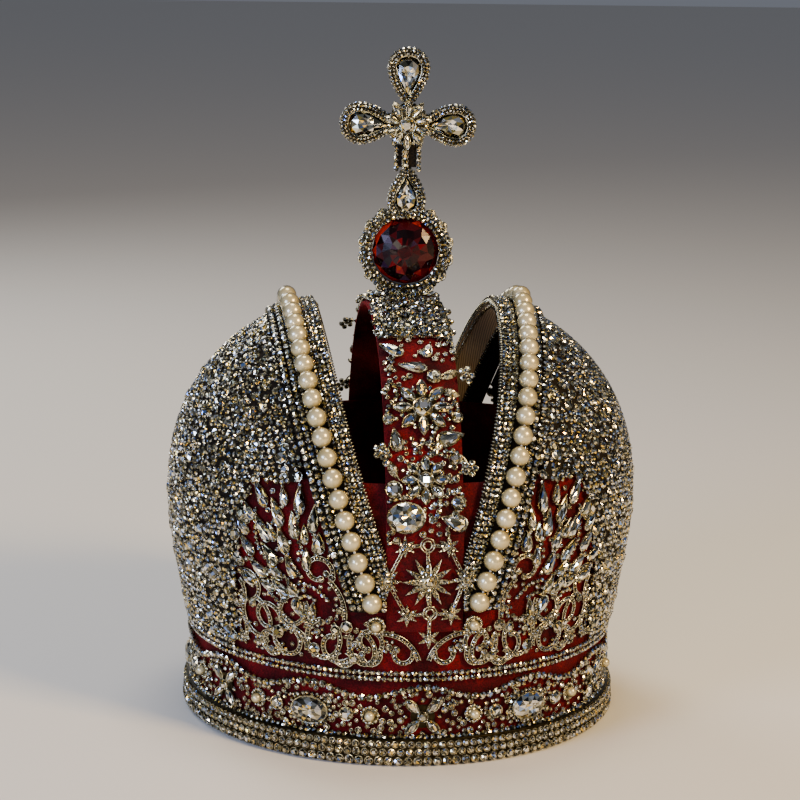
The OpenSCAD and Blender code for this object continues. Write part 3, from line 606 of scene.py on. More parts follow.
def silk_velvet():
    """Cut-pile velvet: its red painted nearly black as painted shade, with a red glow of sheen at the edges.
    """
    def build(t, where):
        pile = add(t, "ShaderNodeTexNoise", [("Scale", 1 / (0.7 * MM)), ("Detail", 4.0)], [("Vector", where)])
        crush = add(t, "ShaderNodeTexNoise", [("Scale", 1 / (14 * MM)), ("Detail", 3.0)], [("Vector", where)])
        # Painted shade: the velvet's red is painted far darker than its own, as the shadow it lies in
        colour = add(t, "ShaderNodeValToRGB", (), [("Fac", crush.outputs["Fac"])],
                     stops=[(0.32, "#2e0106"), (0.5, "#4f030c"), (0.7, "#740711")])
        grain = add(t, "ShaderNodeValToRGB", (), [("Fac", pile.outputs["Fac"])],
                    stops=[(0.3, "#808080"), (0.65, "#ffffff")])
        mix = add(t, "ShaderNodeMix", [("Factor", 1.0)], [(6, colour.outputs[0]), (7, grain.outputs[0])],
                  data_type="RGBA", blend_type="MULTIPLY")
        # The pile's real tufts of 0.15 mm wouldn't show, so its bump is drawn at 0.7 mm
        bump = add(t, "ShaderNodeBump", [("Strength", 0.7), ("Distance", 0.0004)],
                   [("Height", pile.outputs["Fac"])])
        return [("Base Color", mix.outputs[2]), ("Normal", bump.outputs[0])]
    return finish_of("silk velvet, cut pile",
                     [("Roughness", 0.85), ("Specular IOR Level", 0.12), ("Sheen Weight", 0.45),
                      ("Sheen Roughness", 0.35), ("Sheen Tint", linear("#e03a44"))], build)


def cotton_lining():
    """Tan cotton in plain weave: matt, with fine threads."""
    def build(t, where):
        # Threads 1 mm apart, three times as coarse as real ones, so that the weave shows
        wave = add(t, "ShaderNodeTexWave", [("Scale", 1 / (3.2 * MM)), ("Distortion", 1.5)],
                   [("Vector", where)])
        colour = add(t, "ShaderNodeValToRGB", (), [("Fac", wave.outputs["Fac"])],
                     stops=[(0.1, "#a07a44"), (0.8, "#dcb277")])
        bump = add(t, "ShaderNodeBump", [("Strength", 0.4), ("Distance", 0.0002)],
                   [("Height", wave.outputs["Fac"])])
        return [("Base Color", colour.outputs[0]), ("Normal", bump.outputs[0])]
    return finish_of("tan cotton, woven", [("Roughness", 0.8), ("Sheen Weight", 0.3)], build)


def stiff_net():
    """Dark stiffened net that the stones are sewn to: brown-black threads with gaps."""
    def build(t, where):
        cells = add(t, "ShaderNodeTexVoronoi", [("Scale", 1 / (1.3 * MM))], [("Vector", where)],
                    feature="DISTANCE_TO_EDGE")
        colour = add(t, "ShaderNodeValToRGB", (), [("Fac", cells.outputs["Distance"])],
                     stops=[(0.0, "#1d160f"), (0.12, "#130e09"), (0.3, "#090705")])
        bump = add(t, "ShaderNodeBump", [("Strength", 0.6), ("Distance", 0.0003)],
                   [("Height", cells.outputs["Distance"])])
        return [("Base Color", colour.outputs[0]), ("Normal", bump.outputs[0])]
    return finish_of("stiffened net, dark", [("Roughness", 0.8), ("Specular IOR Level", 0.1)], build)


def nylon_thread():
    """Twisted white thread through the pearls."""
    def build(t, where):
        wave = add(t, "ShaderNodeTexWave", [("Scale", 1 / (0.8 * MM))], [("Vector", where)])
        colour = add(t, "ShaderNodeValToRGB", (), [("Fac", wave.outputs["Fac"])],
                     stops=[(0.1, "#c9c2b2"), (0.8, "#efebe0")])
        return [("Base Color", colour.outputs[0])]
    return finish_of("nylon thread, twisted", [("Roughness", 0.5)], build)


def pale_floor():
    return finish_of("pale matt floor", [("Base Color", linear("#d9d6d0")), ("Roughness", 0.9)])


# The two crystal finishes paint a shade onto each facet, from dark to brilliant white, with yellow and blue
# painted glints
FINISHES = {"silver": rhodium_plated_brass(), "dark": dark_ground_brass(), "painted_glint_crystal": machine_cut_crystal(),
            "cut": hand_cut_crystal(), "pearl": glass_pearl(), "thread": nylon_thread(),
            # The red stone's middle is painted nearly black as shade, with a few paler painted reflections,
            # and its rim has a painted glow that stands in for light coming in from the side
            "red": red_glass("red glass, cut",
                             [(0.0, "#0e0103"), (0.4, "#1e0307"), (0.66, "#3c060c"), (0.86, "#640a12"),
                              (0.95, "#33203a")]),
            "red_rim_painted_glow": red_glass("red glass, cut, painted glow on rim",
                                 [(0.0, "#3a0306"), (0.5, "#6c090b"), (0.8, "#d42c12")]),
            "velvet": silk_velvet(), "lining": cotton_lining(), "net": stiff_net()}
STONE = plain_stone(8)
SMALL = plain_stone(6)
CLAWED = claw_stone(8)
BEAD = ball(7, 4, "silver")
PEARL = ball(20, 13, "pearl")


# Velvet
def velvet_wall():
    """Velvet drawn over a stiff ground and stitched down, so that it dips a little between stitches."""
    ang = np.arange(0, 360, 2)
    # The top edge stands a little higher than the solid's, so that no slot shows under the shells
    z = np.concatenate([[1, 1.6], np.linspace(3, 121.5, 41), [122.6, 123]])
    a, h = np.meshgrid(ang, z, indexing="ij")
    dip = 0.22 * (np.sin(np.radians(a * 11) + h / 9) * np.sin(h / 5.5 + np.radians(a * 5)) - 1)
    heap = Heap()
    outer = dome_at(a, h, VELVET + dip)
    inner = dome_at(a, h, VELVET - 2.0)
    hem = dome_at(a[:, -1:], h[:, -1:], VELVET - 1.0)
    foot = dome_at(a[:, :1], h[:, :1], VELVET - 1.0)
    outer[:, [0, -1]] = dome_at(a[:, [0, -1]], h[:, [0, -1]], VELVET - 0.6)
    inner[:, [0, -1]] = dome_at(a[:, [0, -1]], h[:, [0, -1]], VELVET - 1.5)
    ring_points = np.concatenate([foot, outer, hem, inner[:, ::-1]], axis=1)
    heap.grid(ring_points, "velvet", wrap_u=True, wrap_v=True)
    obj = heap.piece("velvet_cover", "velvet", "velvet_wall")


def arch_velvet():
    """Velvet over the arch: a soft padded band with rounded edges."""
    psi = np.linspace(0, 180, 145)
    half = ARCH_W / 2
    x = np.concatenate([[-half, -half + 0.2, -half + 0.9], np.linspace(-14, 14, 7),
                        [half - 0.9, half - 0.2, half]])
    top = -0.9 * (np.abs(x) / half) ** 8
    heap = Heap()
    p, xs = np.meshgrid(psi, x, indexing="ij")
    ripple = 0.15 * np.sin(p / 3.1 + xs / 7) - 0.15
    upper = arch_at(xs, p, top + ripple)
    lower = arch_at(xs, p, SEWN - 0.5 * top)
    heap.grid(np.concatenate([upper, lower[:, ::-1]], axis=1), "velvet", wrap_v=True, flip=True)
    for i, flip in ((0, 1), (-1, 0)):
        end = np.concatenate([upper[i], lower[i][::-1]])
        heap.add(end, np.arange(len(end))[::-1 if flip else 1], np.array([len(end)]), heap.finish("velvet"))
    obj = heap.piece("arch_cover", "velvet", "arch")


# Base
def hoop():
    """Flat dark band closely set with three rows of stones, and one on its upper side."""
    heap = Heap()
    t = np.radians(np.arange(0, 360, 1.5))
    profile = np.array([[-3.2, 0.4], [-2.8, 0], [-0.4, 0], [0.1, 0.5], [0.2, 11.6], [-0.2, 12], [-2.8, 12],
                        [-3.2, 11.6]])
    profile = profile + (BASE_R, 0)
    p = np.stack([np.sin(t)[:, None] * profile[:, 0], -np.cos(t)[:, None] * profile[:, 0],
                  np.broadcast_to(profile[:, 1], (len(t), len(profile)))], -1)
    heap.grid(p, "dark", wrap_u=True, wrap_v=True, rounded=False)
    for z, r, pitch in ((2.5, 2.0, 4.2), (6.4, 1.75, 3.8), (9.9, 1.6, 3.4)):
        pts = np.stack([BASE_R * np.sin(t), -BASE_R * np.cos(t), np.full(len(t), z)], -1)
        outs = unit(pts * (1, 1, 0))
        chain(heap, CLAWED, pts, outs, pitch, r, closed=True, lean=0.03)
    # One more row on the hoop's upper side, where it meets the velvet
    outs = unit(np.stack([np.sin(t), -np.cos(t), np.full(len(t), 1.6)], -1))
    pts = np.stack([(BASE_R - 2.1) * np.sin(t), -(BASE_R - 2.1) * np.cos(t), np.full(len(t), 12.1)], -1)
    chain(heap, STONE, pts, outs, 2.9, 1.4, closed=True, lean=0.1)
    heap.piece("hoop", "silver", "base_hoop")


def band_chains():
    """Two rows that close the base band, the lower one in waves."""
    ang = np.arange(0, 360, 1.0)
    for name, heights, rows in (("upper_chain", np.full(len(ang), 39.5), ((1.3, 1.25), (-1.3, 1.25))),
                                ("wave_chain", 32 + 2.5 * np.cos(np.radians(12 * ang)), ((0, 1.75),))):
        heap = Heap()
        for dz, r in rows:
            pts = dome_at(ang, heights + dz, SEWN)
            outs = dome_out(dome_at(ang, heights + dz))
            heap.tube(pts + 0.4 * outs, outs, 0.4, "silver", sides=4, closed=True)
            chain(heap, STONE, pts + 0.35 * outs, outs, 2.06 * r, r, closed=True)
        heap.piece(name + "_stones", "silver", name)


# Shells and rims
def shell_low(ang):
    """Height of a shell's lower edge, which rises towards the front and back."""
    side = np.minimum(ang, 180 - ang)
    return SHELL_LOW_Z + SHELL_EDGE_RISE * smooth((EDGE_FROM - side) / EDGE_OVER)


def field_low(ang, beyond):
    """Low edge of a field that goes beyond the shell's by degrees, so that stones hide its border."""
    return shell_low(np.minimum(ang, 180 - ang) + beyond) - beyond


def shell_field():
    """Points over a shell, in rows that follow the rim and in level rows low down."""
    k = np.linspace(RIM_SIDE + 0.6, 96, 180)
    phi = np.linspace(2, 178, 265)
    net = rim_at(k[:, None], phi[None])
    run = np.concatenate([np.zeros((1, len(phi))),
                          np.cumsum(np.linalg.norm(np.diff(net, axis=0), axis=2), axis=0)])
    rows = []
    for d in np.arange(1.3, 125, 2.5):
        line = np.array([[np.interp(d, run[:, j], net[:, j, a]) for a in range(3)] for j in range(len(phi))])
        line = line[run[-1] > d]
        if len(line) > 3:
            rows.append(spaced(line, line, 2.8)[0])
    for z in np.arange(44.5, 80, 2.5):
        line = dome_at(np.linspace(40, 140, 200), z)
        rows.append(spaced(line, line, 2.8)[0])
    p = np.concatenate(rows)
    p = p + rng.normal(scale=0.2, size=p.shape)
    z = p[:, 2]
    ang = np.degrees(np.arctan2(p[:, 0] / dome_x(z), -p[:, 1] / dome_y(z)))
    beside = p[:, 0] > pearl_x(z) + RIM_SIDE + 1.2
    keep = (z > field_low(ang, 1.9)) & (z > SHELL_LOW_Z + 0.6) & beside & (ang > 30) & (ang < 150)
    return dome_at(ang[keep], z[keep])


def shells():
    """Domed halves: dark net closely sewn with stones of several sizes."""
    p = shell_field()
    radii = rng.choice([1.35, 1.5, 1.9, 2.4, 3.0], len(p), p=[0.5, 0.32, 0.12, 0.045, 0.015])
    order = np.argsort(-radii + rng.normal(scale=0.03, size=len(p)))
    order = order[scattered(p[order], radii[order], 0.78)]
    p, radii = p[order], radii[order]
    for size in (1.05, 0.95):
        spare = shell_field()
        spare = spare + 1.4 * unit(rng.normal(size=spare.shape))
        z = spare[:, 2]
        spare = dome_at(np.degrees(np.arctan2(spare[:, 0] / dome_x(z), -spare[:, 1] / dome_y(z))), z)
        both, sizes = np.concatenate([p, spare]), np.concatenate([radii, np.full(len(spare), size)])
        kept = scattered(both, sizes, 0.76, len(p))
        p, radii = both[kept], sizes[kept]
    out = dome_out(p)
    lean = unit(out + 0.12 * rng.normal(size=out.shape))
    low = -1.15 * radii - 0.65
    x = np.cross(out, [0, 0, 1.0])
    small = radii < 1.8
    ang = np.concatenate([np.linspace(31, 60, 30), np.linspace(62, 118, 29), np.linspace(120, 149, 30)])
    share = 1 - (1 - np.linspace(0, 1, 26)) ** 1.3
    tops, feet = shell_top(ang), field_low(ang, 0.8)
    h = feet[:, None] + share[None] * (tops - feet)[:, None]
    a = np.broadcast_to(ang[:, None], h.shape)
    line = border(dome_at(a, h, -1.9))
    for side, signs in SIDES.items():
        heap = Heap()
        heap.grid(dome_at(a, h, -1.6), "net")
        heap.grid(dome_at(a, h, -2.2), "net", flip=True)
        heap.tube(line, dome_out(line), 0.32, "net", closed=True)
        spin = rng.uniform(0, 360, len(p))
        for some, kind in ((small, SMALL), (~small, CLAWED)):
            base = p[some] + np.maximum(low[some], -3.6)[:, None] * out[some]
            heap.copies(kind, base, axes(x[some], lean[some], spin[some]), radii[some])
        heap.piece(side + "_shell_stones", "silver", side + "_shell", signs=signs)


def shell_top(ang):
    """Height at which a shell meets its rim."""
    low, high = np.full(len(ang), RIM_FOOT_Z), np.full(len(ang), TOP_Z - 1)
    for _ in range(26):
        mid = (low + high) / 2
        inside = pearl_x(mid) + RIM_SIDE + 0.5 > dome_x(mid) * np.sin(np.radians(ang))
        low, high = np.where(inside, low, mid), np.where(inside, mid, high)
    return (low + high) / 2


def rim_line(k, out, steps=241):
    phi = np.linspace(0.4, 179.6, steps)
    on = rim_at(k, phi)
    return rim_at(k, phi, out), dome_out(on)


def coil(heap, k, out, r, pitch, wire):
    """Wire wound over an edge, which gives it a ribbed look."""
    pts, outs = rim_line(k, out)
    run = lengths(pts)
    d = np.arange(0, run[-1], pitch / 7)
    at = at_length(pts, run, d)
    up = unit(at_length(outs, run, d))
    ahead = unit(np.gradient(at, axis=0))
    side = np.cross(ahead, up)
    t = 2 * np.pi * d / pitch
    line = at + r * (np.cos(t)[:, None] * side + np.sin(t)[:, None] * up)
    heap.tube(line, np.cos(t)[:, None] * side + np.sin(t)[:, None] * up, wire, "silver", sides=4)


def rims():
    """Broad rims: rows of stones on each side of the pearls, with a tan lining inside."""
    section = [(-11.2, 0.3), (-4.7, 0.3), (-4.2, -1.3), (4.2, -1.3), (4.7, 0.0), (11.2, 0.0), (11.2, -2.6),
               (1.5, -3.0), (-11.2, -3.0)]
    for side, signs in SIDES.items():
        heap = Heap()
        phi = np.linspace(0, 180, 121)
        net = np.stack([rim_at(k, phi, out) for k, out in section], axis=1)
        # The grounds between the rows take the dark net, so that the gaps between the rows look dark
        heap.grid(net[:, :7], "net", rounded=False, flip=True)
        heap.grid(net[:, 6:8], "net", rounded=False, flip=True)
        heap.grid(net[:, 7:9], "lining", rounded=False, flip=True)
        heap.grid(net[:, [8, 0]], "dark", rounded=False, flip=True)
        for k, r, out in ((-10.2, 1.2, 0.2), (-8.0, 1.2, 0.2), (-5.9, 1.2, 0.2), (-4.1, 1.0, -0.9),
                          (4.2, 1.0, -0.9), (6.2, 1.5, 0.2), (9.4, 1.6, 0.2)):
            pts, outs = rim_line(k, out)
            chain(heap, STONE, pts, outs, 2.08 * r, r, lean=0.1)
        coil(heap, -11.0, -1.4, 1.1, 1.6, 0.3)
        coil(heap, 2.2, -3.3, 0.8, 1.6, 0.3)
        coil(heap, -9.4, -3.2, 0.7, 1.6, 0.25)
        heap.piece(side + "_rim_rows", "silver", side + "_rim", signs=signs)


def pearls():
    """Strings of pearls in the rims' grooves, each a little different in size."""
    pts = rim_at(0, np.arange(0, 181, 2.0), PEARL_OUT)
    run = lengths(pts)
    count = int((run[-1] - PEARL_D) // PEARL_PITCH) + 1
    d = (run[-1] - (count - 1) * PEARL_PITCH) / 2 + PEARL_PITCH * np.arange(count)
    at = at_length(pts, run, d)
    ahead = unit(at_length(pts, run, d + 1) - at_length(pts, run, d - 1))
    for side, signs in SIDES.items():
        heap = Heap()
        size = PEARL_D / 2 * (1 - 0.02 * rng.random(count))
        turn = axes(np.tile([1.0, 0, 0], (count, 1)), ahead, np.zeros(count))
        heap.copies(PEARL, at, turn, size, rounded=True)
        heap.piece(side + "_pearl_string", "nacre", side + "_pearls", signs=signs)


# Finial
def collars():
    """Stone-set saddle under the finial, with wire loops at its edges."""
    x, psi = np.meshgrid(np.arange(-15.2, 15.3, 2.4), np.arange(66.5, 89.2, 1.3), indexing="ij")
    x = (x + rng.normal(scale=0.3, size=x.shape)).ravel()
    psi = (psi + rng.normal(scale=0.15, size=psi.shape)).ravel()
    for face, signs in FACES.items():
        heap = Heap()
        xs, ps = np.meshgrid(np.linspace(-16, 16, 9), np.linspace(67, 88, 12), indexing="ij")
        heap.grid(arch_at(xs, ps, 1.0), "dark")
        line = border(arch_at(xs, ps, 0.6))
        heap.tube(line, np.tile([0, -0.3, 1.0], (len(line), 1)), 0.6, "silver", closed=True)
        at = arch_at(x, psi, 0.9 + 0.9 * rng.random(len(x)) ** 2)
        out = arch_out(psi) + 0.2 * rng.normal(size=(len(x), 3))
        heap.copies(STONE, at, axes(np.tile([1.0, 0, 0], (len(x), 1)), out, 360 * rng.random(len(x))),
                    rng.uniform(1.1, 1.75, len(x)))
        for s in (-1, 1):
            for p, r in ((69, 2.4), (74, 2.2), (80, 2.6)):
                t = np.linspace(-150, 150, 15) * np.pi / 180
                line = arch_at(s * (15.5 + r * np.cos(t)), p + r / 2.4 * np.sin(t), 1.0)
                heap.tube(line, np.tile([0, -0.5, 1.0], (len(line), 1)), 0.45, "silver")
                chain(heap, SMALL, line, np.tile(arch_out(p), (len(line), 1)), 2.0, 0.9, 0.3)
        heap.piece(face + "_collar_stones", "silver", face + "_collar", signs=signs)


def bezel():
    """Round bezel with three rows of small stones on each face, and wire loops and beads round it."""
    heap = Heap()
    t = 2 * np.pi * np.arange(72) / 72

    def circle(r, out):
        return finial(r * np.sin(t), RUBY_Z + r * np.cos(t), out)
    profile = [(15.35, -3.6), (15.35, 3.6), (15.6, 4.0), (18.2, 3.6), (18.8, 2.6), (18.8, -2.6), (18.2, -3.6),
               (15.6, -4.0)]
    heap.grid(np.stack([circle(r, o) for r, o in profile], axis=1), "dark", wrap_u=True, wrap_v=True,
              rounded=False)
    centre = finial(0, RUBY_Z)
    for back in (False, True):
        way = finial(0, 0, -1 if back else 1)
        for r, out, size, tilt in ((16.0, 3.7, 1.1, 0), (18.0, 3.4, 1.1, 0.25), (19.7, 2.0, 1.05, 0.7)):
            line = circle(r, -out if back else out)
            lean = unit(way + tilt * unit(line - centre))
            chain(heap, SMALL, line, np.broadcast_to(lean, line.shape), 2.1 * size, size, closed=True)
    for i in range(16):
        a = np.radians(360 * (i + 0.5) / 16)
        if abs(np.cos(a)) > 0.93:
            continue
        mid, r = finial(20.1 * np.sin(a), RUBY_Z + 20.1 * np.cos(a)), 1.75
        u = np.radians(np.arange(0, 360, 30))
        way = unit(mid - centre)
        across = np.cross(way, finial(0, 0, 1))
        for out in (-2.4, 2.4):
            bend = np.cos(u)[:, None] * way * 0.75 + np.sin(u)[:, None] * across
            loop = mid + finial(0, 0, out) + r * bend
            heap.tube(loop, np.tile(finial(0, 0, 1), (len(u), 1)), 0.5, "silver", closed=True, sides=5)
            turn = on_finial(0, 0, 0, back=out < 0)[1]
            heap.copies(SMALL, (mid + finial(0, 0, out * 0.9))[None], turn, 1.0)
        heap.copies(BEAD, mid[None], np.eye(3)[None], 1.1, rounded=True)
    x = np.array([-5.6, -2.8, 0, 2.8, 5.6])
    for back in (False, True):
        for down in (18.9, 21.2):
            at, turn = on_finial(x, RUBY_Z - down, 2.6, back=back)
            heap.copies(CLAWED, at, turn, 1.35)
    block = [(-7, -22.4), (7, -22.4), (6.6, -17), (-6.6, -17)]
    p = np.stack([finial([b[0] for b in block], [RUBY_Z + b[1] for b in block], o) for o in (-2.4, 2.4)],
                 axis=0)
    heap.grid(p, "dark", wrap_v=True, rounded=False)
    heap.piece("bezel", "silver", "ruby_setting")


def ruby_stone():
    """Rose-cut red stone: rings of three-sided facets that rise to a small flat middle."""
    n = 16
    heap = Heap()
    levels = [(1.0, 0.7, 0), (0.88, 3.0, 0.5), (0.68, 4.8, 0), (0.45, 5.9, 0.5), (0.22, 6.4, 0)]
    rings = [ring(n, RUBY_R * r, z, 360 * s / n) for r, z, s in levels]
    faces = []
    for i in range(len(levels) - 1):
        a, b, odd = i * n, (i + 1) * n, i % 2
        for j in range(n):
            k = (j + 1) % n
            if odd:
                faces += [(a + j, b + k, b + j), (a + j, a + k, b + k)]
            else:
                faces += [(a + j, a + k, b + j), (a + k, b + k, b + j)]
    middle = tuple(range(len(rings) * n - n, len(rings) * n))
    # The outer ring of facets takes the painted glow of the rim, the rest the dark painted shades
    stone = shape(np.concatenate(rings), [("red_rim_painted_glow", faces[:2 * n]), ("red", faces[2 * n:] + [middle])])
    for back in (False, True):
        at, turn = on_finial(0, RUBY_Z, 2.6, back=back)
        heap.copies(moved(stone, (0, 0, -2.5)), at, turn)
    heap.piece("red_stone", "ruby", "ruby")


def arms():
    """Middle of each arm's stone on the finial, and the turn of its point."""
    return {"top": (0, CROSS_Z + 21.2, 180), "left": (-17.4, CROSS_Z, -90), "right": (17.4, CROSS_Z, 90),
            "foot": (0, 231.25, 0)}


def arm_place(name, x, z, turn, back):
    """Place and axes of an arm on one face; the foot is smaller and stands before the bezel's rows."""
    foot = name == "foot"
    forward = 1.4 if foot else 0.0
    at, facing = on_finial(x, z + (3.6 if foot else 0), forward, -turn if back else turn, back=back)
    return at, facing * (0.9 if foot else 1.0)


def cross_halos():
    """Arms of the cross: slim dark drop-shaped frames, with two rows of small stones on each face and one
    on each side, and the rods between and under them."""
    heap = Heap()
    inner = drop_line(19.2, 12.7)
    n = 48
    for name, (x, z, turn) in arms().items():
        for back in (False, True):
            at, facing = arm_place(name, x, z, turn, back)
            profile = [(0.0, 0.0), (0.0, 3.9), (0.3, 4.3), (2.3, 3.9), (2.6, 3.0), (2.6, 0.0)]
            rings = np.stack([flat_ring(inner, n, o, grow=g) for g, o in profile], axis=1)
            p = at[0] + rings @ facing[0].T
            heap.grid(p, "dark", wrap_u=True, rounded=False)
            for grow, out in ((0.7, 3.9), (2.15, 3.75)):
                line = at[0] + flat_ring(inner, n, out, grow=grow) @ facing[0].T
                chain(heap, SMALL, line, np.tile(facing[0][:, 2], (n, 1)), 1.62, 0.74, closed=True)
            side = flat_ring(inner, n, 1.6, grow=2.4)
            ways = unit(side - flat_ring(inner, n, 1.6, grow=1.0))
            chain(heap, SMALL, at[0] + side @ facing[0].T, ways @ facing[0].T, 2.2, 1.0, closed=True)
    for back in (False, True):
        disc = banded([ring(24, 6.0, 0), ring(24, 6.0, 4.0), ring(24, 5.4, 4.4)], ["dark", "dark"], "dark")
        at, turn = on_finial(0, CROSS_Z, 0, back=back)
        heap.copies(disc, at, turn)
        for wide, low, high in ((4.0, -19, -4.5), (1.5, -23.4, -18), (1.5, 5, 11)):
            rod = banded([np.array([[-wide, low, z], [wide, low, z], [wide, high, z], [-wide, high, z]])
                          for z in (0, 1.6)], ["net"], "net")
            heap.copies(rod, at, turn)
    line = CROSS_Z + np.linspace(-21.2, -6.5, 10)
    for x in (-4.6, 4.9):
        for out, lean in ((1.5, 30), (-1.5, 150)):
            at, turn = on_finial(x, line, out)
            ahead, aside = turn[:, :, 2], np.sign(x) * turn[:, :, 0]
            ways = ahead * np.cos(np.radians(lean)) + aside * np.sin(np.radians(lean))
            chain(heap, STONE, at, ways, 2.3, 1.15)
    for back in (False, True):
        at, turn = on_finial(-0.8, CROSS_Z + np.linspace(-18, -12, 4), 1.6, back=back)
        heap.copies(CLAWED, at, turn, 1.5)
    heap.piece("cross_halos", "silver", "cross_frame")


def cross_pears():
    """Large foiled drops in the arms, cut on both faces."""
    stone = gem(drop_line(18.8, 12.2), 12, 5.0, 0.5, 0.52, 0.3, (0, 75, 130, 180, 230, 285), star=True)
    for name, (x, z, turn) in arms().items():
        heap = Heap()
        for back in (False, True):
            at, facing = arm_place(name, x, z, turn, back)
            heap.copies(stone, at + 0.05 * facing[:, :, 2] / np.linalg.norm(facing[0, :, 2]), facing)
        heap.piece(name + "_pear_stone", "crystal", name + "_pear")


def flower_shape(petals, reach, l, w, h, first=0.0):
    """Navettes round a middle stone, with a small stone between each two."""
    petal = gem(navette_line(l, w), 8, h, rim=0.35, claws=(0, 180))
    middle_r = (2 * reach - l - 0.6) / 2
    middle = gem(oval_line(2 * middle_r, 2 * middle_r), 8, h + 0.8, rim=0.4, claws=ROUND_CLAWS)
    parts = [moved(middle, (0, 0, 0.3)),
             banded([ring(24, reach * 0.8, 0), ring(24, reach * 0.8, 0.5)], ["dark"], "dark")]
    for i in range(petals):
        t = first + 360 * i / petals
        c, s = np.cos(np.radians(t)), np.sin(np.radians(t))
        parts.append(moved(petal, (-s * reach, c * reach, 0.3), turn=t))
        u = t + 180 / petals
        c, s, far = np.cos(np.radians(u)), np.sin(np.radians(u)), reach * 1.12
        parts.append(moved(STONE, (-s * far, c * far, 0.3), 1.05))
    return joined(*parts)


def cross_flowers():
    s = flower_shape(10, 7.4, 7.0, 3.0, 2.0)
    for face in FACES:
        at, turn = on_finial(0, CROSS_Z, 4.75, back=face == "back")
        heap = Heap()
        heap.copies(s, at, turn)
        heap.piece(face + "_cross_navettes", "crystal", face + "_cross_flower")


# Ornaments on the arch

# Middles of the two flowers and of the oval stone, across and up
UPPER_SPOT, LOWER_SPOT, OVAL_SPOT = (0, 152), (0, 124), (-8.5, 109)
# Drops: across, up, turn, length and width; leaves: across, up, turn and length
DROPS = [(-11.3, 172.8, 60, 11, 5.5), (-3, 166.6, 80, 12, 5), (4.4, 172.2, -20, 8, 4.6),
         (11.5, 140.5, -75, 12, 7), (-12, 140, 10, 10, 5.5), (12, 107.2, 70, 11.5, 7)]
LEAVES = [(13.2, 164.5, -60, 9), (12.5, 157.8, -110, 9), (-13.6, 128.6, 20, 8)]
# Round stones: across, up and radius
BEADS = [(6, 163.2, 3), (-13.4, 120.5, 3.4), (14.8, 148.5, 2.2), (-14.8, 148, 2.2), (13, 132.5, 2.4),
         (13.5, 115, 2.4)]
# Stars: across, up, number of rays, radius and distance out; rings: across and up
STARS = [(1, 82, 12, 11.6, 0.3), (-9, 97, 6, 4.8, 0.3), (9.8, 97, 6, 4.8, 0.3), (-8, 67.4, 6, 5, 0.3),
         (11, 67.8, 6, 5, 0.3), (1.5, 57.6, 6, 5.2, 0.3), (-16.6, 82.4, 8, 6.4, 1.7),
         (16.9, 82.8, 8, 6.4, 1.7)]
RINGS = [(0.6, 97.6), (1.8, 68.6)]


def leaf_shape(l, w, h):
    """Fluted metal leaf with a raised vein."""
    line = navette_line(l, w)
    n = 24
    wavy = 1 + 0.12 * np.cos(np.arange(n) * np.pi)
    low, mid = flat_ring(line, n, 0.2), flat_ring(line, n, h * 0.75, 0.62)
    mid[:, 2] *= wavy
    return banded([low, mid, flat_ring(line, n, h, 0.12)], ["silver", "silver"], "silver")


def arch_stones():
    upper, lower = flower_shape(8, 8.6, 8.4, 4.2, 2.4), flower_shape(8, 7, 6.8, 3.8, 2.4)
    big = gem(oval_line(16, 13), 12, 4.4, claws=OVAL_CLAWS, star=True)
    for face, signs in FACES.items():
        for name, s, spot in (("upper_flower", upper, (*UPPER_SPOT, ARCH_SEAT)),
                              ("lower_flower", lower, (*LOWER_SPOT, ARCH_SEAT)),
                              ("oval", big, (*OVAL_SPOT, ARCH_SEAT, 90))):
            heap = Heap()
            heap.copies(s, *on_arch(*spot))
            heap.piece("%s_%s_stones" % (face, name), "crystal", "%s_%s" % (face, name), signs=signs)
        heap = Heap()
        for x, z, turn, l, w in DROPS:
            heap.copies(gem(drop_line(l, w), 9, 3, claws=(0, 120, 180, 240)), *on_arch(x, z, ARCH_SEAT, turn))
        heap.piece(face + "_drop_stones", "crystal", face + "_drops", signs=signs)
        heap = Heap()
        for x, z, turn, l in LEAVES:
            heap.copies(leaf_shape(l, 4.4, 1.8), *on_arch(x, z, ARCH_SEAT, turn))
        heap.piece(face + "_metal_leaves", "silver", face + "_leaves", signs=signs)
        heap = Heap()
        for x, z, r in BEADS:
            heap.copies(gem(oval_line(2 * r, 2 * r), 8, 3, claws=ROUND_CLAWS), *on_arch(x, z, ARCH_SEAT))
        heap.piece(face + "_round_stones", "crystal", face + "_beads", signs=signs)


# Curls of cup chain, each as places that it passes through
TRAILS = [[(-16, 146), (-14.8, 152), (-10.5, 156.5), (-12.8, 161.5), (-16, 158)],
          [(-9.5, 141), (-15.5, 137), (-16.6, 131)], [(10, 158.5), (15, 153.5), (14.6, 148.5)],
          [(8, 135.5), (14.2, 134.5), (16.4, 129), (13, 124.5)],
          [(9, 118.5), (14.2, 119.5), (16.6, 114.5), (12.6, 110.5)],
          [(-15.8, 103.5), (-16, 98.5), (-12.5, 99.8)], [(1.5, 112.5), (6.4, 115.5), (5, 110), (2.6, 108)],
          [(-4.5, 134.8), (0, 138.8), (4.5, 134.8)], [(-15.6, 168), (-11, 170.2), (-12.6, 166.3)],
          [(9.2, 176), (14.6, 177.4), (15.6, 172)], [(6, 145), (3, 139.5), (6, 137)],
          [(-16.4, 115.5), (-10.4, 117), (-6.6, 117.6)]]


def curve_through(points, n):
    """Smooth line through points in the plane."""
    p = np.array([2 * np.array(points[0]) - points[1], *points, 2 * np.array(points[-1]) - points[-2]], float)
    out = []
    for i in range(1, len(p) - 2):
        t = np.linspace(0, 1, n, endpoint=False)[:, None]
        a, b, c, d = p[i - 1:i + 3]
        out.append(0.5 * (2 * b + (c - a) * t + (2 * a - 5 * b + 4 * c - d) * t ** 2
                          + (3 * b - a - 3 * c + d) * t ** 3))
    return np.concatenate(out + [p[-2:-1]])


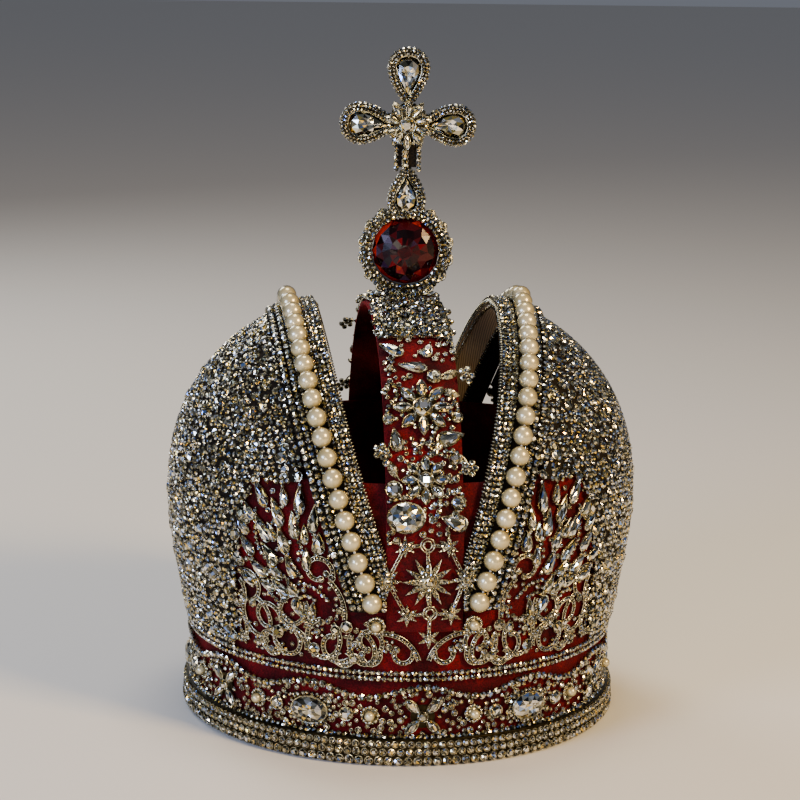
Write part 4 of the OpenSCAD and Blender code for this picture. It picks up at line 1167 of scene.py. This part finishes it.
def along(x, z, lean, l, w):
    """A drop's ground as three circles along it."""
    t = np.radians(lean)
    return [(x - f * l * np.sin(t), z + f * l * np.cos(t), 0.42 * w) for f in (-0.28, 0, 0.28)]


def loose_stones(taken, xs, zs, tries):
    """Places and radii of small stones on the free ground beside circles that are taken."""
    taken = np.array(taken, float)
    free = np.column_stack([rng.uniform(*xs, tries), rng.uniform(*zs, tries),
                            rng.choice([0.95, 1.2, 1.5], tries)])
    both = np.concatenate([taken, free])
    kept = scattered(both * (1, 1, 0), both[:, 2], 0.93, len(taken))
    kept = kept[kept >= len(taken)]
    return both[kept, 0], both[kept, 1], both[kept, 2]


# Stems that reach past the arch's edges, each with a cluster at its end
OVERHANGS = [((9, 163.4), (14, 165.4), (20.4, 164)), ((-11, 124), (-14.4, 129.5), (-18.6, 135.5)),
             ((12, 135), (16.6, 133), (19.4, 128.6))]


def arch_trails():
    """Short curls of cup chain and loose set stones that fill in between the flowers."""
    taken = [(*UPPER_SPOT, 11.5), (*LOWER_SPOT, 9.6), (*OVAL_SPOT, 7)] + BEADS
    for x, z, turn, l, w in DROPS:
        taken += along(x, z, turn, l, w)
    for x, z, turn, l in LEAVES:
        taken += along(x, z, turn, l, 4.4)
    for face, signs in FACES.items():
        heap = Heap()
        for trail in TRAILS:
            line = curve_through(trail, 6)
            psi = arch_psi(line[:, 1])
            pts, outs = arch_at(line[:, 0], psi, 0.6), arch_out(psi)
            heap.tube(pts, outs, 0.45, "silver", sides=4)
            chain(heap, STONE, pts + 0.2 * outs, outs, 2.3, 1.12)
            heap.copies(CLAWED, *on_arch(line[-1, 0], line[-1, 1], 0.7), 1.6)
        for stem in OVERHANGS:
            line = curve_through(stem, 6)
            pts, turn = on_arch(line[:, 0], line[:, 1], 1.6)
            heap.tube(pts, turn[:, :, 2], 0.4, "silver", sides=4)
            a = np.radians(72 * np.arange(5))
            x, z = line[-1]
            heap.copies(CLAWED, *on_arch(x + 2.3 * np.cos(a), z + 2.3 * np.sin(a), 1.3), 1.35)
            heap.copies(CLAWED, *on_arch(x, z, 1.7), 1.1)
        x, z, r = loose_stones(taken, (-15.4, 15.4), (102, 178), 900)
        at, turn = on_arch(x, z, 0.05, 360 * rng.random(len(x)))
        heap.copies(CLAWED, at, turn, r)
        heap.piece(face + "_arch_trails", "silver", signs=signs)


def star_shape(points, r, high):
    """Star of narrow pointed rays round a set stone, each ray with a row of small stones."""
    parts = [banded([ring(2 * points, r * 0.36, 0), ring(2 * points, r * 0.34, 0.9),
                     ring(2 * points, r * 0.22, high)], ["silver", "silver"], "silver")]
    wide = 1.1 + 0.1 * r
    size = min(0.95, r * 0.14)
    for a in 360 * np.arange(points) / points:
        ray = np.array([[-wide / 2, 0.2 * r], [wide / 2, 0.2 * r], [wide * 0.62, 0.55 * r], [0, r],
                        [-wide * 0.62, 0.55 * r]])
        low = np.column_stack([ray, np.zeros(5)])
        top = np.column_stack([ray * (0.8, 0.98), [1.1, 1.1, 1.0, 0.5, 1.0]])
        parts.append(moved(banded([low, top], ["silver"], "silver"), turn=a))
        for far in np.arange(0.42 * r, 0.86 * r, size * 1.9):
            parts.append(moved(moved(SMALL, (0, far, 0.75), size * (1.1 - 0.35 * far / r)), turn=a))
    mid = r * 0.2
    parts.append(moved(CLAWED, (0, 0, high * 0.7), mid))
    parts += [moved(SMALL, (mid * 1.5 * np.cos(a), mid * 1.5 * np.sin(a), high * 0.7), size * 0.75)
              for a in np.arange(0, 2 * np.pi, 0.6)]
    return joined(*parts)


def rosettes():
    """Stars at the foot of the arch, joined by thin bars and plain wire rings."""
    spots = [s[:2] for s in STARS]
    links = [(spots[1], RINGS[0]), (spots[2], RINGS[0]), (spots[0], RINGS[0]), (spots[3], RINGS[1]),
             (spots[4], RINGS[1]), (spots[0], RINGS[1]), (spots[5], RINGS[1]), (spots[1], spots[6]),
             (spots[3], spots[6]), (spots[2], spots[7]), (spots[4], spots[7])]
    for face, signs in FACES.items():
        heap = Heap()
        for x, z, points, r, out in STARS:
            heap.copies(star_shape(points, r, 2.2), *on_arch(x, z, out))
        for (x0, z0), (x1, z1) in links:
            share = np.linspace(0.1, 0.9, 8)
            pts, turn = on_arch(x0 + (x1 - x0) * share, z0 + (z1 - z0) * share, 0.8)
            for side in (-0.55, 0.55):
                across = unit(np.cross(pts[-1] - pts[0], turn[0, :, 2]))
                heap.tube(pts + side * across, turn[:, :, 2], 0.3, "silver", sides=4)
            heap.copies(SMALL, pts[1:-1], turn[1:-1], 0.6)
        for x, z in RINGS:
            for r in (3.0, 1.8):
                t = np.radians(np.arange(0, 360, 20))
                pts, turn = on_arch(x + r * np.cos(t), z + r * np.sin(t), 1.2)
                heap.tube(pts, turn[:, :, 2], 0.38, "silver", closed=True)
        heap.piece(face + "_stars", "silver", face + "_rosette", signs=signs)


# Ornaments on the wall

# Curls of strip: distance along the wall, height, radius, first and last angle, share lost of the radius
SCROLLS = [(52.4, 66.5, 18.6, 190, 132, 0), (44.5, 84.2, 6.6, 200, -110, 0.45),
           (23.8, 54.3, 6, 215, -80, 0.45), (23.8, 48.4, 5, 150, 370, 0.35), (18, 42, 16.4, 164, 84, 0),
           (9.6, 49.6, 5, 168, 400, 0.4), (38.8, 51.8, 8.2, 225, 440, 0.5), (59.5, 50.4, 7.2, 200, 25, 0.1),
           (71, 60, 7, 195, -100, 0.35), (72, 48.6, 5, 150, -120, 0.4), (81, 73, 7.2, 255, 70, 0.15)]
# Stones where strips meet: distance along the wall, height and radius
JOINTS = [(33.2, 60.6, 3.2), (38.2, 58.8, 2.6), (30.4, 46.8, 2.8), (48.6, 49.6, 3.2), (65.6, 54.8, 3.4),
          (78.4, 65, 2.4), (38.6, 81.6, 1.9)]
# Drops of the sprays: distance along the wall, height, lean, length and width
SPRAY = [(46, 106.5, -2, 11, 5.4), (52.5, 114, 6, 12, 5.6), (55, 103, 12, 11, 5.4),
         (63, 107.5, 26, 12, 5.6), (71.5, 114.5, 32, 12, 5.4), (43.8, 96.2, 0, 8.6, 6.6),
         (60.2, 95.5, 24, 11, 5.4), (70, 99.5, 36, 12, 5.4), (67, 89, 42, 11, 5), (57, 85, 26, 10, 5),
         (78.5, 91, 42, 10, 5), (73.5, 81.8, 50, 10, 5), (63, 74.5, 48, 10, 5), (54.5, 66, -150, 9, 5.4)]
# Smaller drops between those
SPRAY_MORE = [(50, 99.5, 6, 8, 4), (65.5, 98.8, 28, 8, 4), (64.6, 81.6, 46, 8.5, 4.2),
              (69.4, 74.8, 60, 8, 4), (49.4, 88.8, 4, 9, 4.4), (80.6, 99.4, 40, 9, 4.4),
              (84.6, 84.4, 52, 8.5, 4.2), (79.6, 76, 60, 8, 4), (57.4, 75.6, 30, 8, 4),
              (48.2, 66.4, -10, 8, 4.4), (77.8, 106.4, 34, 9, 4.4), (60, 114.8, 14, 8, 4)]
# Loops of strip: distance along the wall, height, half width, half height and lean
LOOPS = [(27, 51.4, 5.4, 7.4, -20), (44.2, 54.2, 7.6, 8.6, 15), (62, 51.2, 6.6, 6.2, 0),
         (77.4, 59.2, 7.4, 8.8, -15), (57.6, 65.4, 5.6, 8, 40), (90, 53, 5.6, 7, 0),
         (70.4, 46.8, 3.6, 3.2, 0), (35.4, 46.2, 3.8, 3.2, 0), (88, 68.6, 5.2, 6.6, 10)]


def scroll_bar(heap, line):
    """Flattened dark strip between two wires, with a row of small stones."""
    at, turn = on_sheet(line[:, 0], line[:, 1], SEWN)
    outs = turn[:, :, 2]
    ahead = unit(np.gradient(at, axis=0))
    side = np.cross(ahead, outs)
    heap.tube(at + 0.5 * outs, outs, 0.8, "dark", sides=6, flat=0.5)
    for s in (-1, 1):
        heap.tube(at + 0.8 * outs + s * 0.85 * side, outs, 0.3, "silver", sides=5)
    chain(heap, SMALL, at + 0.75 * outs, outs, 1.4, 0.66)


def scrolls():
    heap = Heap()
    for x, z, r, first, last, curl in SCROLLS:
        n = max(12, int(abs(last - first) / 9))
        u = np.linspace(0, 1, n)
        t = np.radians(first + (last - first) * u)
        q = r * (1 - curl * u)
        scroll_bar(heap, np.stack([x + q * np.cos(t), z + q * np.sin(t)], -1))
        if curl:
            end = (x + q[-1] * np.cos(t[-1]), z + q[-1] * np.sin(t[-1]))
            heap.copies(CLAWED, *on_sheet(*end, SEWN + 0.6), 1.5)
    for x, z, r in JOINTS:
        heap.copies(CLAWED, *on_sheet(x, z, SEWN), r * 0.86)
    for x, z, wide, high, lean in LOOPS:
        t = np.radians(np.arange(-160, 161, 16))
        c, d = np.cos(np.radians(lean)), np.sin(np.radians(lean))
        u, v = wide * np.sin(t), -high * np.cos(t)
        scroll_bar(heap, np.stack([x + c * u - d * v, z + d * u + c * v], -1))
    for name, signs in FOUR.items():
        heap.piece(name + "_scrollwork", "silver", name + "_scrolls", signs=signs)


def sprays():
    """Fans of foiled drops in thin bezels."""
    heap = Heap()
    for s, z, lean, l, w in SPRAY + SPRAY_MORE:
        line = drop_line(1.08 * l, 0.88 * w)
        stone = gem(line, 9, 3.1, table=0.42, rim=0.35, claws=(0, 130, 180, 230))
        heap.copies(stone, *on_sheet(s, z, SEWN, -lean))
    for name, signs in FOUR.items():
        heap.piece(name + "_drops", "crystal", name + "_spray", signs=signs)


# Cup chain stems, each as places that it passes through, and the middles of small clusters
STEMS = [[(45, 90), (45.6, 95), (46, 101)], [(49, 84), (52, 94), (54, 99), (52.8, 108)],
         [(52, 80), (58, 89), (62, 101), (66, 103)], [(58, 78), (66, 84), (73, 92), (74, 108)],
         [(60, 68), (68, 76), (77, 86)], [(40.5, 71), (47, 76.5), (54.5, 78)],
         [(46, 70.6), (51.5, 72.5), (56, 69)], [(84, 47), (89, 52), (86, 57), (81.5, 55)],
         [(12.4, 59.5), (17.5, 61), (20.4, 65.5)], [(63.5, 66), (67.4, 70.4), (72.8, 70)],
         [(56, 58.5), (62, 61.8), (65.4, 66)], [(88.5, 62), (92, 68), (90.5, 75)],
         [(86.5, 80), (91, 86), (90, 93)], [(40.6, 88), (38.5, 95.5), (40.2, 103)]]
CLUSTERS = [(36, 67.5), (51.2, 60.6), (56.8, 74), (84.5, 66.5), (60.5, 57.5), (15.2, 52.5), (30, 53),
            (87.5, 47.8), (46.8, 57.2), (90.8, 57), (77.2, 75.2), (66.8, 81.2), (66, 46.5), (78, 47),
            (92.5, 80.5), (41, 110.5)]


def wall_trails():
    """Cup chain stems of the sprays, and small clusters that fill the scrollwork."""
    heap = Heap()
    for stem in STEMS:
        line = curve_through(stem, 7)
        at, turn = on_sheet(line[:, 0], line[:, 1], SEWN)
        outs = turn[:, :, 2]
        heap.tube(at + 0.3 * outs, outs, 0.4, "silver", sides=4)
        chain(heap, STONE, at + 0.2 * outs, outs, 2.3, 1.12)
    for s, z in CLUSTERS:
        heap.copies(CLAWED, *on_sheet(s, z, SEWN), 1.5)
        a = np.radians(60 * np.arange(6) + 20 * s)
        heap.copies(SMALL, *on_sheet(s + 2.6 * np.cos(a), z + 2.6 * np.sin(a), SEWN), 1.05)
    taken = [(s, z, 3.4) for s, z in CLUSTERS] + [(s, z, 0.8 * r) for s, z, r in JOINTS]
    for s, z, lean, l, w in SPRAY + SPRAY_MORE:
        taken += along(s, z, -lean, l, w)
    for s, z, r, first, last, curl in SCROLLS:
        u = np.linspace(0, 1, 24)
        t, q = np.radians(first + (last - first) * u), r * (1 - curl * u)
        taken += list(zip(s + q * np.cos(t), z + q * np.sin(t), np.full(24, 1.1)))
    for stem in STEMS:
        taken += [(x, y, 1.0) for x, y in curve_through(stem, 7)]
    x, z, r = loose_stones(taken, (8, 97), (44, 118), 420)
    on = dome_at(np.degrees(x / SHEET_R), z)
    beside = (z < RIM_FOOT_Z - 5) | (on[:, 0] > pearl_x(z) + RIM_SIDE + 1.5)
    free = beside & (z < shell_low(np.degrees(x / SHEET_R)) - 1)
    at, turn = on_sheet(x[free], z[free], SEWN - 0.3, 360 * rng.random(free.sum()))
    heap.copies(CLAWED, at, turn, r[free])
    for name, signs in FOUR.items():
        heap.piece(name + "_stems", "silver", signs=signs)


def pearl_flower_shape(r):
    """Eight round petals of metal under a pearl."""
    petal = moved(ball(8, 4, "silver"), scale=(r * 0.24, r * 0.24, 0.8))
    parts = [banded([ring(16, r * 0.7, 0), ring(16, r * 0.7, 0.6)], ["silver"], "silver"),
             moved(ball(16, 9, "pearl"), (0, 0, 2.2), 2.35)]
    for a in np.radians(45 * np.arange(8)):
        parts.append(moved(petal, (0.76 * r * np.cos(a), 0.76 * r * np.sin(a), 0.6)))
        parts.append(moved(SMALL, (0.8 * r * np.cos(a + 0.39), 0.8 * r * np.sin(a + 0.39), 0.5), 0.7))
    return joined(*parts)


def pearl_flowers():
    flower = pearl_flower_shape(4.6)
    heap = Heap()
    for i in range(6):
        for s in (-1, 1):
            heap.copies(flower, *on_wall(60 * i + s * BAND_FLOWER_ANG, BAND_Z, BAND_SEAT), rounded=True)
    heap.piece("band_pearl_rosettes", "silver", "band_pearl_flowers")
    heap = Heap()
    for signs in FOUR.values():
        ang = FOOT_FLOWER_ANG * signs[0]
        at, turn = on_wall(ang if signs[1] > 0 else 180 - ang, RIM_FOOT_Z - 5.4, 0.1)
        heap.copies(pearl_flower_shape(4.4), at, turn, rounded=True)
    heap.piece("foot_pearl_rosettes", "silver", "foot_flowers")


def band_stones():
    """Ovals with haloes, navette flowers and round stones along the base band."""
    oval = gem(oval_line(17, 12), 12, 4.4, claws=OVAL_CLAWS, star=True)
    for i in range(6):
        heap = Heap()
        at, turn = on_wall(30 + 60 * i, BAND_Z, BAND_SEAT, 90)
        heap.copies(oval, at, turn)
        line = flat_ring(oval_line(19.6, 14.6), 24, 0.2) @ turn[0].T + at[0]
        chain(heap, SMALL, line, np.tile(turn[0][:, 2], (24, 1)), 2.2, 1.02, closed=True)
        heap.piece("band_oval_stone_%d" % (i + 1), "crystal", "band_oval_%d" % (i + 1))
    heap = Heap()
    s = flower_shape(4, 6.6, 8.2, 4, 2.4, 45)
    for i in range(6):
        heap.copies(s, *on_wall(60 * i, BAND_Z, BAND_SEAT))
    heap.piece("band_navette_stones", "crystal", "band_navettes")
    heap = Heap()
    stone = gem(oval_line(5.8, 5.8), 8, 3, claws=ROUND_CLAWS)
    for i in range(6):
        for s in (-1, 1):
            heap.copies(stone, *on_wall(60 * i + s * BAND_ROUND_ANG, BAND_Z, BAND_SEAT))
    heap.piece("band_round_stones", "crystal", "band_rounds")


def band_trails():
    """Small clusters and loops of cup chain between the stones of the base band."""
    heap = Heap()
    for i in range(12):
        for s in (-1, 1):
            line = curve_through([(30 * i + s * 3.0, 28.2), (30 * i + s * 6.2, 26.4),
                                  (30 * i + s * 8.6, 28.6)], 5)
            at, turn = on_wall(line[:, 0], line[:, 1], SEWN + 0.05)
            chain(heap, SMALL, at, turn[:, :, 2], 2.2, 1.0)
    # Circles taken by the ornaments, along the unrolled band
    arc = np.radians(BASE_R)
    taken = [(arc * (30 + 60 * i), BAND_Z, 9.2) for i in range(-1, 7)]
    taken += [(arc * (60 * i), BAND_Z, 9.0) for i in range(7)]
    taken += [(arc * (60 * i + s * a), BAND_Z, r) for i in range(7) for s in (-1, 1)
              for a, r in ((BAND_FLOWER_ANG, 4.6), (BAND_ROUND_ANG, 3.2))]
    x, z, r = loose_stones(taken, (0, arc * 360), (13.6, 36.5), 5200)
    free = z < 30.2 + 2.5 * np.cos(12 * x / BASE_R)
    at, turn = on_wall(np.degrees(x[free] / BASE_R), z[free], SEWN + 0.1, 360 * rng.random(free.sum()))
    heap.copies(CLAWED, at, turn, r[free])
    heap.piece("band_small_stones", "silver")


# Stage and camera
def stage():
    """Plain pale floor and soft lights, for the camera at the photograph's angle."""
    me = bpy.data.meshes.new("floor")
    me.from_pydata([(-4, -3, 0), (4, -3, 0), (4, 5, 0), (-4, 5, 0)], [], [(0, 1, 2, 3)])
    me.materials.append(pale_floor())
    floor = bpy.data.objects.new("floor", me)
    bpy.context.scene.collection.objects.link(floor)
    world = bpy.data.worlds.new("soft grey room")
    world.use_nodes = True
    world.node_tree.nodes["Background"].inputs["Color"].default_value = linear("#aeb4c2")
    world.node_tree.nodes["Background"].inputs["Strength"].default_value = 0.34
    bpy.context.scene.world = world
    # Lights: name, place, size, watts and colour
    for name, at, size, watts, code in (("key", (0.8, -0.8, 0.85), 0.3, 23, "#ffd898"),
                                        ("fill", (-0.9, -0.7, 0.45), 0.4, 9, "#b4cbff"),
                                        ("top", (0.0, 0.15, 1.2), 0.4, 6, "#fff4e2"),
                                        ("rear", (-0.5, 0.95, 0.8), 0.5, 6, "#ffffff"),
                                        ("low", (-0.4, -1.1, 0.2), 0.25, 3.5, "#fff0dc")):
        light = bpy.data.lights.new(name, "AREA")
        light.size, light.energy, light.color = size, watts, linear(code)[:3]
        lamp = bpy.data.objects.new(name, light)
        lamp.location = at
        way = unit(np.array(at) - (0, 0, 0.13))
        aim = axes(np.cross([0, 0, 1.0], way)[None], way[None], np.zeros(1))[0]
        lamp.matrix_world = Matrix.Translation(at) @ Matrix(aim.tolist()).to_4x4()
        bpy.context.scene.collection.objects.link(lamp)


def camera():
    """Camera 1.2 m away, 19 degrees up and 6.8 degrees round towards -X, with a slight roll."""
    away, aim = 1.2, (-0.0012, 0, 0.1397)
    up, aside, roll = np.radians(19.0), np.radians(-6.8), np.radians(-1.1)
    place = away * np.array([np.sin(aside) * np.cos(up), -np.cos(aside) * np.cos(up), np.sin(up)])
    back = unit(place - aim)
    right = unit(np.cross([0, 0, 1.0], back))
    top = np.cross(back, right)
    right, top = (np.cos(roll) * right - np.sin(roll) * top, np.cos(roll) * top + np.sin(roll) * right)
    data = bpy.data.cameras.new("camera")
    data.lens, data.sensor_width, data.clip_start, data.clip_end = 114.73, 36.0, 0.05, 20.0
    obj = bpy.data.objects.new("camera", data)
    obj.matrix_world = Matrix.Translation(place) @ Matrix(np.stack([right, top, back], -1).tolist()).to_4x4()
    bpy.context.scene.collection.objects.link(obj)
    bpy.context.scene.camera = obj


def dress_kept_nodes():
    """The fine threads keep their CAD solids and take their finish here."""
    for name in ("left_thread", "right_thread"):
        obj = bpy.data.objects.get(name)
        for s in obj.material_slots:
            s.material = FINISHES["thread"]


for make in (velvet_wall, arch_velvet, hoop, band_chains, shells, rims, pearls, collars, bezel, ruby_stone,
             cross_halos, cross_pears, cross_flowers, arch_stones, arch_trails, rosettes, scrolls, sprays,
             wall_trails, pearl_flowers, band_stones, band_trails, stage, camera, dress_kept_nodes):
    make()
